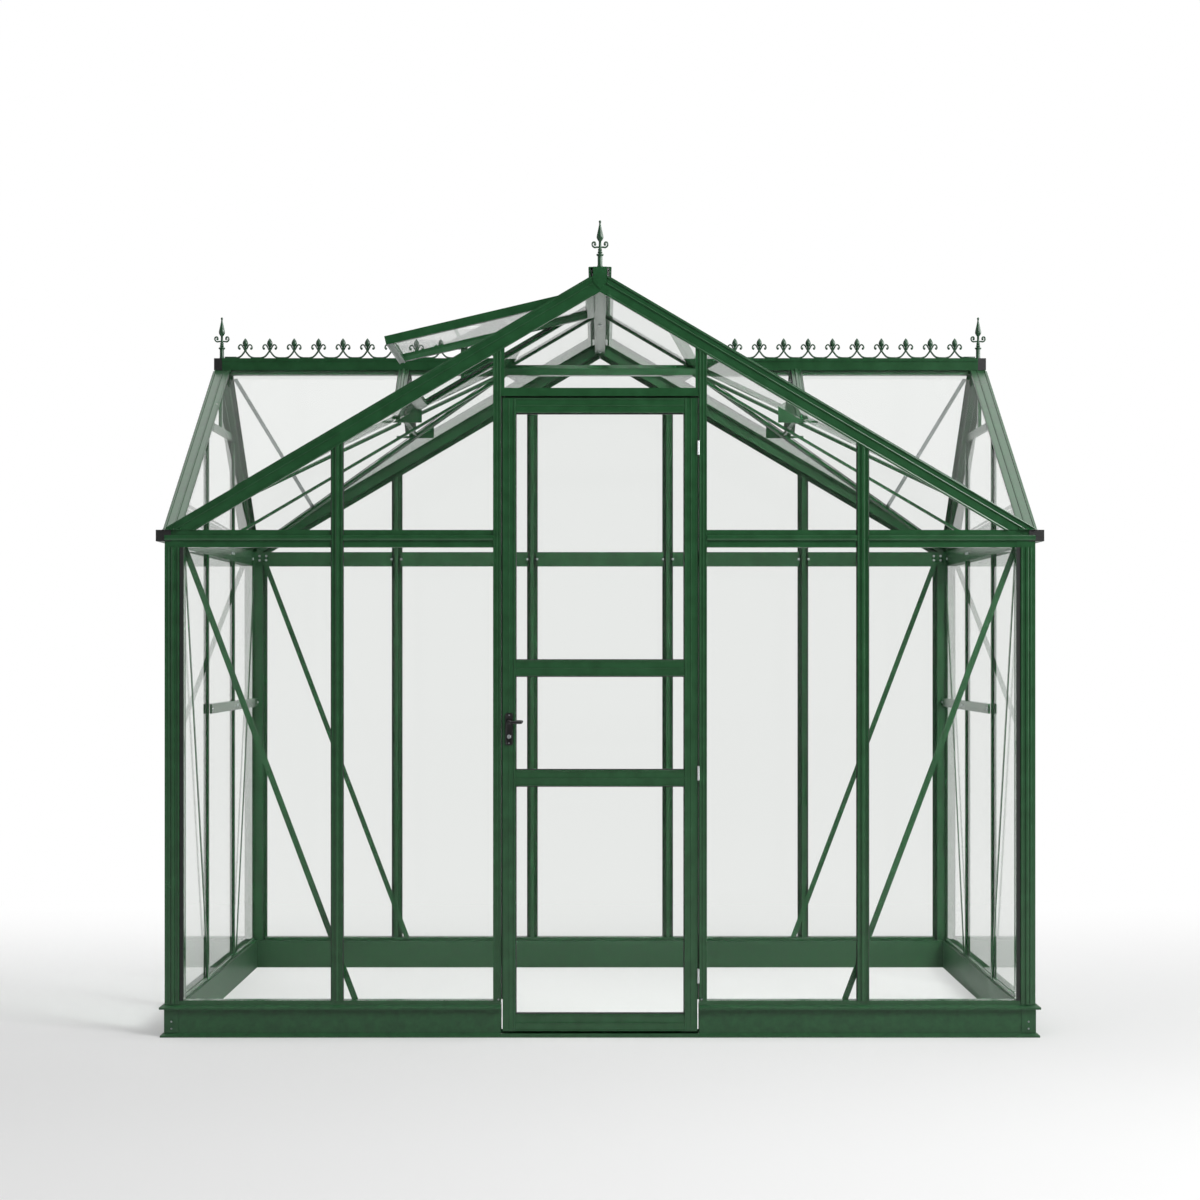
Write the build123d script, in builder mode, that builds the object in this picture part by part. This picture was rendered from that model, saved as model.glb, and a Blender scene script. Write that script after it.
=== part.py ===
from build123d import *
import math
import os

# Glass greenhouse with a main roof from front to back and a lower roof across it.
# Millimetres. The origin is on the ground at the middle of the plan, the door is at -Y,
# +X is the right-hand side seen from the door, and +Z is up.

# Overall sizes
width = 3200
depth = 1930
ridge_apex = 2812
side_apex = 2590
roof_foot = 1870

# Base rails of folded steel
base_height = 120
base_thickness = 62
base_wall = 3
top_lip_reach = 18
top_lip_height = 15
top_lip_drop = 2
bottom_lip_reach = 15
bottom_lip_height = 14
corner_plate_width = 51
corner_plate_thickness = 2
corner_plate_margin = 3

# Sills on the base, with a groove for the glass
sill_height = 14
sill_floor = 4

# Aluminium bars: a cover outside the glass and a web behind it
plate = 6
frame_depth = 46
bar_width = 41
web_width = 16
corner_leg = 70
back_corner_leg = 61
corner_lip = 24
rafter_face = 63
rafter_leg = 62

# Side walls, set in from the ends of the base, of shallower bars
side_inset = 38
side_depth = 16
rafter_lean = 30

# Posts
front_post_in = 634
back_panes = 5
back_margin = 75
side_panes = 3

# Eaves and gutters
eave_bottom = 1800
eave_shoulder = 1824
eave_top = 1864
eave_recess = 3
eave_band = 18
gutter_reach = 32
gutter_height = 42
gutter_wall = 2
end_cap_width = 55
end_cap_thickness = 4

# Ridges
ridge_half = 23
ridge_depth = 56
cap_half = 38.5
cap_rise = 19
cap_wall = 3
nosing_reach = 3
nosing_height = 12
side_ridge_half = 22
side_ridge_depth = 44
side_cap_rise = 23
side_cap_end = 33
side_cap_proud = 4
apex_plate_width = 51
apex_plate_thickness = 4
apex_plate_drop = 62

# Bars inside the roof
roof_bar_depth = 16
valley_half = 10
valley_top_drop = 19
valley_depth = 12
glass_valley_margin = 6
low_bar_near = 27
low_bar_far = 38
low_bar_foot = 20
jack_out = 15
purlin_in = 17
purlin_width = 10
purlin_height = 13
purlin_drop = 11
gusset_thickness = 4
gusset_reach_in = 96
gusset_reach_out = 62
gusset_foot = 23
collar_z = 2317
collar_height = 30
king_width = 30

# Glass
glass = 4
seat_gap = 0.2
margin = 400
edge_gap = 1
joint_gap = 0.4

# Braces and rails on the walls
brace_width = 22
brace_thickness = 3
front_brace_head_in = 57
back_brace_head_in = 93
front_brace_foot_in = 63
back_brace_foot_in = 50
mid_rail_z = 1190
mid_rail_height = 38
mid_rail_thickness = 8

# Doorway, leaf and door furniture
door_half = 364
door_post_width = 29
door_post_head = 42
transom_bottom = 2356
transom_height = 30
threshold_height = 14
threshold_depth = 40
threshold_stop = 24
leaf_gap = 6
leaf_head_gap = 8
leaf_bottom = 22
leaf_proud = 2
leaf_thickness = 30
stile_width = 48
top_rail_height = 55
bottom_rail_height = 63
mid_rail_zs = (1356, 952)
leaf_rail_height = 59
stop_gap = 5
stop_thickness = 5
stop_reach = 11
hinge_zs = (2165, 970, 225)
knuckle_radius = 4.5
knuckle_length = 52
pin_radius = 2.5
pin_clearance = 0.1
hinge_axis_out = 6
tab_thickness = 2
tab_reach = 26
knuckle_gap = 0.3
plate_z = (1073, 1191)
handle_plate_width = 27
handle_plate_thickness = 8
handle_x_offset = 24
spindle_z = 1157
spindle_radius = 4
lever_length = 43
lever_height = 13
lever_thickness = 11
lever_standoff = 26
lever_boss_radius = 9
spindle_clearance = 0.3

# Roof vent on the left slope, standing open
vent_x = 62
vent_top_drop = 18
vent_length = 750
vent_slope_angle = 13.2
vent_bar_width = 26
vent_bar_depth = 32
vent_side_gap = 4
vent_sill_margin = 96
vent_sill_width = 36
stay_width = 14
stay_depth = 18
stay_start = 250

# Finials and cresting
finial_height = 172
finial_in = 26
finial_back = 8
finial_foot_radius = 8
finial_collar = (42, 50)
finial_collar_radius = 11
finial_stem_radius = 5
finial_bud = (98, 114, 156)
finial_bud_radius = 13
finial_neck_radius = 3
finial_tip_height = 6
finial_scroll_z = 86
finial_scroll_out = 17
finial_scroll_radius = 15
finial_scroll_line = 5
finial_scroll_thickness = 6
cresting_pitch = 100
cresting_count = 11
cresting_start = 450
cresting_thickness = 6
swag_height = 34
swag_line = 4.5
foot_width = 29
foot_height = 4
fleur_height = 86
bud_half = 11
bud_rise = 16
fleur_arm = 17
fleur_arm_line = 6

half_width = width / 2
half_depth = depth / 2
front_post_x = half_width - front_post_in
main_slope = (ridge_apex - roof_foot) / half_width
side_slope = (side_apex - roof_foot) / half_depth
valley_start = (ridge_apex - side_apex) / main_slope
valley_run = side_slope / main_slope
side_post_y = depth / side_panes / 2
back_pitch = (width - 2 * back_margin) / back_panes
sill_top = base_height + sill_height
glass_out = plate + seat_gap
glass_in = glass_out + glass
leaf_half = door_half - leaf_gap
leaf_top = transom_bottom - leaf_head_gap
leaf_front = half_depth + leaf_proud
leaf_back = leaf_front - leaf_thickness
side_face = half_width - side_inset
side_inner = side_face - side_depth
side_top_face = half_width - rafter_lean
ridge_end_face = side_top_face + side_cap_proud
side_ridge_end = ridge_end_face - side_cap_end


def main_roof(side):
    """Outer plane of the main roof, right side at 1 and left side at -1."""
    return Plane(origin=(0, 0, ridge_apex), z_dir=(side * main_slope, 0, 1))


def side_roof(end):
    """Outer plane of the cross roof, back slope at 1 and front slope at -1."""
    return Plane(origin=(0, 0, side_apex), z_dir=(0, end * side_slope, 1))


def valley_x(y):
    """Distance of the valley from the middle, at a distance y from the middle of the depth."""
    return valley_start + valley_run * y


def valley_y(x):
    """Distance of the valley from the middle of the depth, at a distance x from the middle."""
    return (x - valley_start) / valley_run


jack_x = valley_x(side_post_y) + jack_out
gusset_y = side_post_y + web_width / 2


def flipped(outline, side=1, end=1):
    """A plan outline set on the right or left and at the back or front."""
    return [(side * x, end * y) for x, y in outline]


def rect(x0, x1, y0, y1):
    """Corners of a plan rectangle."""
    return [(x0, y0), (x1, y0), (x1, y1), (x0, y1)]


def prism(outline, bottom, top, above=(), below=()):
    """A solid over a plan outline between two heights, cut by planes."""
    with BuildPart() as solid:
        with BuildSketch(Plane.XY.offset(bottom)):
            with BuildLine():
                Polyline(*outline, close=True)
            make_face()
        extrude(amount=top - bottom)
        for plane in above:
            split(bisect_by=plane, keep=Keep.TOP)
        for plane in below:
            split(bisect_by=plane, keep=Keep.BOTTOM)
    return solid.part


def layer(outline, roof, near, far, above=()):
    """A layer of a roof slope over a plan outline, between two depths under its outer face."""
    under = (roof.offset(-near),)
    return prism(outline, eave_bottom - margin, ridge_apex + margin, (roof.offset(-far), *above), under)


def joined(*pieces):
    """Several shapes made one."""
    with BuildPart() as whole:
        for piece in pieces:
            add(piece)
    return whole.part


def keep(label, *solids):
    """Writes one named piece."""
    with BuildPart() as node:
        for solid in solids:
            add(solid)
    node.part.label = label
    export_step(node.part, f"parts/{label}.step")


def along_x(points, x0, x1):
    """A profile in Y and Z, drawn from x0 to x1."""
    with BuildPart() as bar:
        with BuildSketch(Plane(origin=(x0, 0, 0), x_dir=(0, 1, 0), z_dir=(1, 0, 0))):
            with BuildLine():
                Polyline(*points, close=True)
            make_face()
        extrude(amount=x1 - x0)
    return bar.part


def along_y(points, y0, y1):
    """A profile in X and Z, drawn from y0 to y1."""
    with BuildPart() as bar:
        with BuildSketch(Plane(origin=(0, y1, 0), x_dir=(1, 0, 0), z_dir=(0, -1, 0))):
            with BuildLine():
                Polyline(*points, close=True)
            make_face()
        extrude(amount=y1 - y0)
    return bar.part


def wall_post(outline_cover, outline_web, bottom, top, below=()):
    """An upright bar: its cover and its web."""
    return joined(prism(outline_cover, bottom, top, (), below), prism(outline_web, bottom, top, (), below))


def end_post(x, end, bottom):
    """An upright bar of the front or back wall, up to the main roof's edge bar."""
    outer = half_depth
    side = 1 if x > 0 else -1
    cover = flipped(rect(x - bar_width / 2, x + bar_width / 2, outer, outer - plate), 1, end)
    web = flipped(rect(x - web_width / 2, x + web_width / 2, outer - plate, outer - frame_depth), 1, end)
    return wall_post(cover, web, bottom, ridge_apex, (main_roof(side).offset(-rafter_face),))


def side_post(side, y, bottom, top, below=()):
    """An upright bar of a side wall."""
    outer = side_face
    cover = flipped(rect(outer - plate, outer, y - bar_width / 2, y + bar_width / 2), side)
    web = flipped(rect(side_inner, outer - plate, y - web_width / 2, y + web_width / 2), side)
    return wall_post(cover, web, bottom, top, below)


# Base rails: closed sections with a lip at the top and bottom, mitred at the corners
def base_section(outer):
    """Profile of a base rail whose outer face is at the given distance."""
    inner = outer - base_thickness
    top_lip = base_height - top_lip_drop
    return [
        (inner, 0),
        (outer + bottom_lip_reach, 0),
        (outer + bottom_lip_reach, bottom_lip_height / 2),
        (outer, bottom_lip_height),
        (outer, top_lip - top_lip_height),
        (outer + top_lip_reach, top_lip - top_lip_height),
        (outer + top_lip_reach, top_lip - top_lip_height / 2),
        (outer, top_lip),
        (outer, base_height),
        (inner, base_height),
    ]


def base_hollow(outer):
    """The empty inside of a base rail."""
    inner = outer - base_thickness + base_wall
    return [
        (inner, base_wall),
        (outer - base_wall, base_wall),
        (outer - base_wall, base_height - base_wall),
        (inner, base_height - base_wall),
    ]


def mitre(side, end):
    """The upright plane through one corner, between the side rail and the end rail."""
    return Plane(origin=(side * half_width, end * half_depth, 0), z_dir=(side, -end, 0))


def end_rail(end, x0, x1, corners):
    """A base rail of the front or back, mitred at the given corners."""
    section = [(end * y, z) for y, z in base_section(half_depth)]
    hollow = [(end * y, z) for y, z in base_hollow(half_depth)]
    with BuildPart() as rail:
        add(along_x(section, x0, x1))
        add(along_x(hollow, x0, x1), mode=Mode.SUBTRACT)
        for side in corners:
            split(bisect_by=mitre(side, end), keep=Keep.BOTTOM)
    return rail.part


def side_rail(side):
    """A base rail of one side, mitred at both corners."""
    section = [(side * x, z) for x, z in base_section(half_width)]
    hollow = [(side * x, z) for x, z in base_hollow(half_width)]
    reach = half_depth + top_lip_reach
    with BuildPart() as rail:
        add(along_y(section, -reach, reach))
        add(along_y(hollow, -reach, reach), mode=Mode.SUBTRACT)
        for end in (-1, 1):
            split(bisect_by=mitre(side, end), keep=Keep.TOP)
    return rail.part


def corner_plate(side, end):
    """A folded plate round one corner of the base."""
    t = corner_plate_thickness
    x0 = half_width - corner_plate_width
    y0 = half_depth - corner_plate_width
    outline = [
        (x0, half_depth),
        (half_width, half_depth),
        (half_width, y0),
        (half_width + t, y0),
        (half_width + t, half_depth + t),
        (x0, half_depth + t),
    ]
    bottom = bottom_lip_height + corner_plate_margin
    top = base_height - top_lip_drop - top_lip_height - corner_plate_margin
    return prism(flipped(outline, side, end), bottom, top)


def sill_section(outer, deep):
    """Profile of a sill: an outer lip, the glass groove and the seat behind it."""
    floor = base_height + sill_floor
    return [
        (outer, base_height),
        (outer, sill_top),
        (outer - plate, sill_top),
        (outer - plate, floor),
        (outer - glass_in - seat_gap, floor),
        (outer - glass_in - seat_gap, sill_top),
        (outer - deep, sill_top),
        (outer - deep, base_height),
    ]


def eave_section(outer):
    """Profile of an eave beam: a proud middle band between two recessed ones."""
    return [
        (outer - eave_recess, eave_bottom),
        (outer - eave_recess, eave_shoulder),
        (outer, eave_shoulder),
        (outer, eave_top - eave_band),
        (outer - eave_recess, eave_top - eave_band),
        (outer - eave_recess, eave_top),
        (outer - frame_depth, eave_top),
        (outer - frame_depth, eave_bottom),
    ]


def eave_beam(end, x0, x1, low0, low1):
    """A front or back eave beam whose lower band is the shorter."""
    outer = half_depth
    full = [(end * y, z) for y, z in eave_section(outer) if z >= eave_shoulder]
    full.append((end * (outer - frame_depth), eave_shoulder))
    inner = outer - frame_depth
    lower = [
        (end * (outer - eave_recess), eave_bottom),
        (end * (outer - eave_recess), eave_shoulder),
        (end * inner, eave_shoulder),
        (end * inner, eave_bottom),
    ]
    return joined(along_x(full[1:], x0, x1), along_x(lower, low0, low1))


def gable_rafter(side, end):
    """An edge bar of the main roof: gable plate, roof plate and core."""
    roof = main_roof(side)
    outer = half_depth

    def strip(u0, u1):
        y0 = outer - u0
        y1 = outer - u1
        outline = [(joint_gap, y0), (valley_x(y0), y0), (valley_x(y1), y1), (joint_gap, y1)]
        return flipped(outline, side, end)

    foot = (Plane.XY.offset(eave_top),)
    return joined(
        layer(strip(0, plate), roof, 0, rafter_face, foot),
        layer(strip(0, rafter_leg), roof, 0, plate, foot),
        layer(strip(plate, frame_depth), roof, plate, frame_depth, foot),
    )


def side_rafter(side, end):
    """An edge bar of the cross roof: gable plate, roof plate and core."""
    roof = side_roof(end)
    outer = half_width

    def strip(u0, u1):
        x0 = outer - u0
        x1 = outer - u1
        head = (side_top_face - u0, joint_gap), (side_top_face - u1, joint_gap)
        return flipped([head[0], (x0, valley_y(x0)), (x1, valley_y(x1)), head[1]], side, end)

    foot = (Plane.XY.offset(eave_top),)
    return joined(
        layer(strip(0, plate), roof, 0, rafter_face, foot),
        layer(strip(0, rafter_leg), roof, 0, plate, foot),
        layer(strip(plate, frame_depth), roof, plate, frame_depth, foot),
    )


def end_pane(end, x0, x1, bottom, top, below=()):
    """A pane of the front or back wall."""
    outline = rect(x0, x1, half_depth - glass_out, half_depth - glass_in)
    return prism(flipped(outline, 1, end), bottom, top, (), below)


def side_pane(side, y0, y1, bottom, top, below=()):
    """A pane of a side wall."""
    outline = rect(side_face - glass_in, side_face - glass_out, y0, y1)
    return prism(flipped(outline, side), bottom, top, (), below)


def strip_between(start, end, y_axis, wide, thick):
    """A flat strip from one point to another, its thickness along y_axis."""
    start = Vector(*start)
    end = Vector(*end)
    run = end - start
    frame = Plane(origin=start, x_dir=Vector(*y_axis).cross(run), z_dir=run)
    with BuildPart() as strap:
        with BuildSketch(frame):
            Rectangle(wide, thick)
        extrude(amount=run.length)
    return strap.part


os.makedirs("parts", exist_ok=True)

# Base
reach = half_width + top_lip_reach
keep("base_front", end_rail(-1, -reach, -door_half, (-1,)), end_rail(-1, door_half, reach, (1,)))
keep("base_back", end_rail(1, -reach, reach, (-1, 1)))
keep("base_sides", side_rail(-1), side_rail(1))
keep("base_corner_plates", *[corner_plate(side, end) for side in (-1, 1) for end in (-1, 1)])

threshold_y = half_depth - threshold_depth
threshold_outline = rect(-door_half, door_half, -half_depth - bottom_lip_reach, -threshold_y)
stop_front = half_depth + leaf_proud - leaf_thickness - stop_gap
upstand = rect(-door_half, door_half, -stop_front, -threshold_y)
door_stop = prism(upstand, 0, threshold_stop)
keep("door_threshold", joined(prism(threshold_outline, 0, threshold_height), door_stop))

# Sills between the corner posts
sill_reach = half_width - corner_leg
sill_ends = half_depth - corner_leg
back_sill_reach = side_face - back_corner_leg
sill_y = [(-y, z) for y, z in sill_section(half_depth, frame_depth)]
sills = [
    along_x(sill_y, -sill_reach, -door_half),
    along_x(sill_y, door_half, sill_reach),
    along_x(sill_section(half_depth, frame_depth), -back_sill_reach, back_sill_reach),
]
for side in (-1, 1):
    profile = [(side * x, z) for x, z in sill_section(side_face, side_depth)]
    sills.append(along_y(profile, -sill_ends, sill_ends))
keep("sills", *sills)

# Corner posts: a core, a lip over the side glass, and at the back a leg along the wall
corner_posts = []
lip = rect(side_face - plate, side_face, half_depth - frame_depth - corner_lip, half_depth)
front_core = rect(half_width - corner_leg, half_width, half_depth - frame_depth, half_depth)
back_core = rect(side_face - frame_depth, side_face, half_depth - frame_depth, half_depth)
back_leg = rect(side_face - back_corner_leg, side_face, half_depth - plate, half_depth)
for side in (-1, 1):
    for end, shapes in ((-1, (front_core, lip)), (1, (back_core, back_leg, lip))):
        parts = [prism(flipped(shape, side, end), base_height, eave_shoulder) for shape in shapes]
        corner_posts.append(joined(*parts))
keep("corner_posts", *corner_posts)

# Posts of the front and back walls, past the eave up to the roof
keep("front_posts", *[end_post(side * front_post_x, -1, sill_top) for side in (-1, 1)])
back_xs = [back_pitch * (i - (back_panes - 2) / 2) for i in range(back_panes - 1)]
keep("back_posts", *[end_post(x, 1, sill_top) for x in back_xs])

# Door posts: a cover beside the leaf, wider over the transom, a web and a stop behind the leaf
door_posts = []
for side in (-1, 1):
    outer = half_depth
    head_inner = door_half + door_post_width - door_post_head
    cap_plane = main_roof(side).offset(-rafter_face)
    face = rect(door_half, door_half + door_post_width, -outer, -outer + plate)
    head = rect(head_inner, door_half - joint_gap, -outer, -outer + plate)
    web = rect(door_half, door_half + web_width, -outer + plate, -outer + frame_depth)
    stop_edge = door_half - joint_gap
    stop = rect(door_half - stop_reach, stop_edge, -stop_front, -stop_front + stop_thickness)
    door_posts.append(wall_post(flipped(face, side), flipped(web, side), sill_top, ridge_apex, (cap_plane,)))
    over_transom = transom_bottom + transom_height
    door_posts.append(prism(flipped(head, side), over_transom, ridge_apex, (), (cap_plane,)))
    door_posts.append(prism(flipped(stop, side), sill_top, transom_bottom))
head_stop_end = door_half - stop_reach - joint_gap
head_stop = rect(-head_stop_end, head_stop_end, -stop_front, -stop_front + stop_thickness)
door_posts.append(prism(head_stop, transom_bottom - stop_reach, transom_bottom))
keep("door_posts", *door_posts)
transom_outline = rect(-door_half, door_half, -half_depth, -half_depth + frame_depth)
keep("door_transom", prism(transom_outline, transom_bottom, transom_bottom + transom_height))

# Side posts, below and above the eave
side_posts = []
for side in (-1, 1):
    for end in (-1, 1):
        y = end * side_post_y
        side_posts.append(side_post(side, y, sill_top, eave_bottom))
        under_rafter = side_roof(end).offset(-frame_depth - joint_gap)
        under_collar = Plane.XY.offset(collar_z - collar_height / 2 - joint_gap)
        side_posts.append(side_post(side, y, eave_top, ridge_apex, (under_rafter, under_collar)))
keep("side_posts", *side_posts)

# Eaves
post_edge = front_post_x + bar_width / 2
post_inner = front_post_x - bar_width / 2
door_edge = door_half + door_post_width
low = half_width - corner_leg
front_eave = [
    eave_beam(-1, -half_width, -post_edge, -low, -post_edge),
    eave_beam(-1, -post_inner, -door_edge, -post_inner, -door_edge),
    eave_beam(-1, door_edge, post_inner, door_edge, post_inner),
    eave_beam(-1, post_edge, half_width, post_edge, low),
]
keep("front_eave", *front_eave)
back_eave = []
edges = [-half_width] + [x + s * bar_width / 2 for x in back_xs for s in (-1, 1)] + [half_width]
for x0, x1 in zip(edges[0::2], edges[1::2]):
    back_eave.append(eave_beam(1, x0, x1, max(x0, -back_sill_reach), min(x1, back_sill_reach)))
keep("back_eave", *back_eave)
side_eaves = []
gutters = []
end_caps = []
for side in (-1, 1):
    inner = half_width - frame_depth
    upper = [(side * half_width, eave_shoulder), (side * half_width, eave_top)]
    upper += [(side * inner, eave_top), (side * inner, eave_shoulder)]
    lower = [(side * half_width, eave_bottom), (side * half_width, eave_shoulder)]
    lower += [(side * inner, eave_shoulder), (side * inner, eave_bottom)]
    span = half_depth - frame_depth
    side_eaves.append(joined(along_y(upper, -span, span), along_y(lower, -sill_ends, sill_ends)))
    outer = half_width + gutter_reach
    bottom = eave_top - gutter_height
    channel = [
        (half_width, eave_top),
        (half_width, bottom),
        (outer, bottom),
        (outer, eave_top),
        (outer - gutter_wall, eave_top),
        (outer - gutter_wall, bottom + gutter_wall),
        (half_width + gutter_wall, bottom + gutter_wall),
        (half_width + gutter_wall, eave_top),
    ]
    gutters.append(along_y([(side * x, z) for x, z in channel], -half_depth, half_depth))
    for end in (-1, 1):
        cap = rect(outer - end_cap_width, outer, half_depth, half_depth + end_cap_thickness)
        end_caps.append(prism(flipped(cap, side, end), bottom, eave_top))
keep("side_eaves", *side_eaves)
keep("gutters", *gutters)
keep("gutter_end_caps", *end_caps)

# Edge bars of the roofs
keep("front_rafters", gable_rafter(-1, -1), gable_rafter(1, -1))
keep("back_rafters", gable_rafter(-1, 1), gable_rafter(1, 1))
keep("side_rafters", *[side_rafter(side, end) for side in (-1, 1) for end in (-1, 1)])

# Main ridge and its hollow cap
ridge_reach = half_depth - rafter_leg - joint_gap
shoulder = ridge_apex - main_slope * ridge_half
ridge_bottom = ridge_apex - ridge_depth
ridge_profile = [
    (-ridge_half, ridge_bottom),
    (ridge_half, ridge_bottom),
    (ridge_half, shoulder),
    (0, ridge_apex),
    (-ridge_half, shoulder),
]
keep("main_ridge", along_y(ridge_profile, -ridge_reach, ridge_reach))
cap_top = ridge_apex + cap_rise
cap_foot = ridge_apex - main_slope * (cap_half - cap_wall) + seat_gap
cap_profile = [
    (-cap_half, cap_foot),
    (-cap_half, cap_top),
    (cap_half, cap_top),
    (cap_half, cap_foot),
    (cap_half - cap_wall, cap_foot),
    (cap_half - cap_wall, cap_top - cap_wall),
    (-cap_half + cap_wall, cap_top - cap_wall),
    (-cap_half + cap_wall, cap_foot),
]
ridge_caps = [along_y(cap_profile, -half_depth, half_depth)]
apex_half = apex_plate_width / 2
apex_foot = ridge_apex - apex_plate_drop
apex_profile = [
    (-apex_half, cap_top),
    (-apex_half, apex_foot + apex_half),
    (0, apex_foot),
    (apex_half, apex_foot + apex_half),
    (apex_half, cap_top),
]
apex_face = half_depth + apex_plate_thickness
keep(
    "apex_plates",
    along_y(apex_profile, -apex_face, -half_depth),
    along_y(apex_profile, half_depth, apex_face),
)

# Side ridge, in one piece under the main roof, and a cap over each end
side_reach = side_top_face - rafter_leg - joint_gap
side_shoulder = side_apex - side_slope * side_ridge_half
side_bottom = side_apex - side_ridge_depth
beam_profile = [
    (-side_ridge_half, side_bottom),
    (side_ridge_half, side_bottom),
    (side_ridge_half, side_shoulder),
    (0, side_apex),
    (-side_ridge_half, side_shoulder),
]
keep("side_ridge", along_x(beam_profile, -side_reach, side_reach))
side_cap_top = side_apex + side_cap_rise
side_cap_foot = side_apex - side_slope * (cap_half - cap_wall) + seat_gap
side_cap_profile = [
    (-cap_half, side_cap_foot),
    (-cap_half, side_cap_top - nosing_height),
    (-cap_half - nosing_reach, side_cap_top - nosing_height),
    (-cap_half - nosing_reach, side_cap_top),
    (cap_half + nosing_reach, side_cap_top),
    (cap_half + nosing_reach, side_cap_top - nosing_height),
    (cap_half, side_cap_top - nosing_height),
    (cap_half, side_cap_foot),
    (cap_half - cap_wall, side_cap_foot),
    (cap_half - cap_wall, side_cap_top - cap_wall),
    (-cap_half + cap_wall, side_cap_top - cap_wall),
    (-cap_half + cap_wall, side_cap_foot),
]
for side in (-1, 1):
    with BuildPart() as side_cap:
        start, stop = sorted((0, side * side_ridge_end))
        add(along_x(side_cap_profile, start, stop))
        split(bisect_by=main_roof(side).offset(seat_gap), keep=Keep.TOP)
    ridge_caps.append(side_cap.part)
keep("ridge_caps", *ridge_caps)
end_profile = [
    (-cap_half, side_cap_foot),
    (-cap_half, side_cap_top),
    (cap_half, side_cap_top),
    (cap_half, side_cap_foot),
    (0, side_apex + seat_gap),
]
keep(
    "side_ridge_ends",
    along_x(end_profile, side_ridge_end, ridge_end_face),
    along_x(end_profile, -ridge_end_face, -side_ridge_end),
)

# Bars of the main slopes: one at mid-depth, in two lengths above and below the side ridge,
# and one on the left that carries the vent's inner edge
def slope_bar(side, y, x0, x1, above=()):
    """A glazing bar of a main slope between two distances from the middle."""
    roof = main_roof(side)
    cover = flipped(rect(x0, x1, y - bar_width / 2, y + bar_width / 2), side)
    web = flipped(rect(x0, x1, y - web_width / 2, y + web_width / 2), side)
    return joined(layer(cover, roof, 0, plate, above), layer(web, roof, plate, roof_bar_depth, above))


roof_bars = []
low_bars = []
bar_start = ridge_half + joint_gap
for side in (-1, 1):
    on_ridge = (Plane.XY.offset(side_apex + seat_gap),)
    roof_bars.append(slope_bar(side, 0, bar_start, valley_start, on_ridge))
    stop = side_face - glass_in - joint_gap
    eave_face = half_width - frame_depth - joint_gap
    roof = main_roof(side)
    run = flipped(rect(valley_start, stop, -web_width / 2, web_width / 2), side)
    under_ridge = Plane.XY.offset(side_apex - side_ridge_depth)
    above = (roof.offset(-low_bar_far), Plane.XY.offset(eave_bottom))
    low_bar = prism(run, eave_bottom, ridge_apex, above, (roof.offset(-low_bar_near), under_ridge))
    foot = flipped(rect(stop - low_bar_foot, eave_face, -web_width / 2, web_width / 2), side)
    low_bars.append(joined(low_bar, prism(foot, eave_top - low_bar_foot, eave_top)))
cover_tip = valley_x(side_post_y - bar_width / 2) - glass_valley_margin
roof_bars.append(slope_bar(-1, -side_post_y, bar_start, cover_tip))
keep("roof_bars", *roof_bars)
keep("low_roof_bars", *low_bars)

# Valley bars under the lines where the roofs meet, in two lengths each
drop = valley_top_drop
length_run = math.hypot(1, valley_run)
spread = valley_half * length_run
valley_bars = []
for side in (-1, 1):
    for end in (-1, 1):
        lean = side_slope / (1 + valley_run**2)
        origin = (side * valley_start, 0, side_apex)
        floor = Plane(origin=origin, z_dir=(side * valley_run * lean, end * lean, 1))
        top = floor.offset(-drop)
        bottom = floor.offset(-drop - valley_depth)
        y0 = side_ridge_half + joint_gap
        y1 = gusset_y - joint_gap
        if (side, end) == (-1, -1):
            y1 = side_post_y - bar_width / 2 - joint_gap
        y2 = gusset_y + gusset_thickness + joint_gap
        y3 = half_depth - rafter_leg - joint_gap
        for near, far in ((y0, y1), (y2, y3)):
            outline = [
                (valley_x(near) - spread, near),
                (valley_x(near) + spread, near),
                (valley_x(far) + spread, far),
                (valley_x(far) - spread, far),
            ]
            valley_bars.append(prism(flipped(outline, side, end), eave_top, ridge_apex, (bottom,), (top,)))
keep("valley_bars", *valley_bars)

# Jack rafters of the cross roof
jacks = []
for side in (-1, 1):
    for end in (-1, 1):
        roof = side_roof(end)
        start = side_ridge_half + joint_gap
        stop = gusset_y - joint_gap
        cover = flipped(rect(jack_x - bar_width / 2, jack_x + bar_width / 2, start, stop), side, end)
        web = flipped(rect(jack_x - web_width / 2, jack_x + web_width / 2, start, stop), side, end)
        over_valley = (main_roof(side).offset(seat_gap),)
        jack_cover = layer(cover, roof, 0, plate, over_valley)
        jacks.append(joined(jack_cover, layer(web, roof, plate, roof_bar_depth)))
keep("jack_rafters", *jacks)

# Purlins between the valleys, and gussets where valleys and jack rafters meet
purlins = []
gussets = []
purlin_outer = jack_x - purlin_in
purlin_inner = purlin_outer - purlin_width
for side in (-1, 1):
    reach_y = valley_y(purlin_inner - spread) - joint_gap
    top = ridge_apex - main_slope * purlin_outer - purlin_drop
    beam = flipped(rect(purlin_inner, purlin_outer, -reach_y, reach_y), side)
    purlins.append(prism(beam, top - purlin_height, top))
    for end in (-1, 1):
        x0 = jack_x - gusset_reach_in
        x1 = jack_x + gusset_reach_out
        plan = flipped(rect(x0, x1, gusset_y, gusset_y + gusset_thickness), side, end)
        foot = side_apex - side_slope * gusset_y - gusset_foot
        halves = [
            prism(plan, foot, ridge_apex, (), (roof.offset(-glass_in - joint_gap),))
            for roof in (main_roof(side), side_roof(end))
        ]
        gussets.append(joined(*halves))
keep("purlins", *purlins)
keep("gussets", *gussets)

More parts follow.
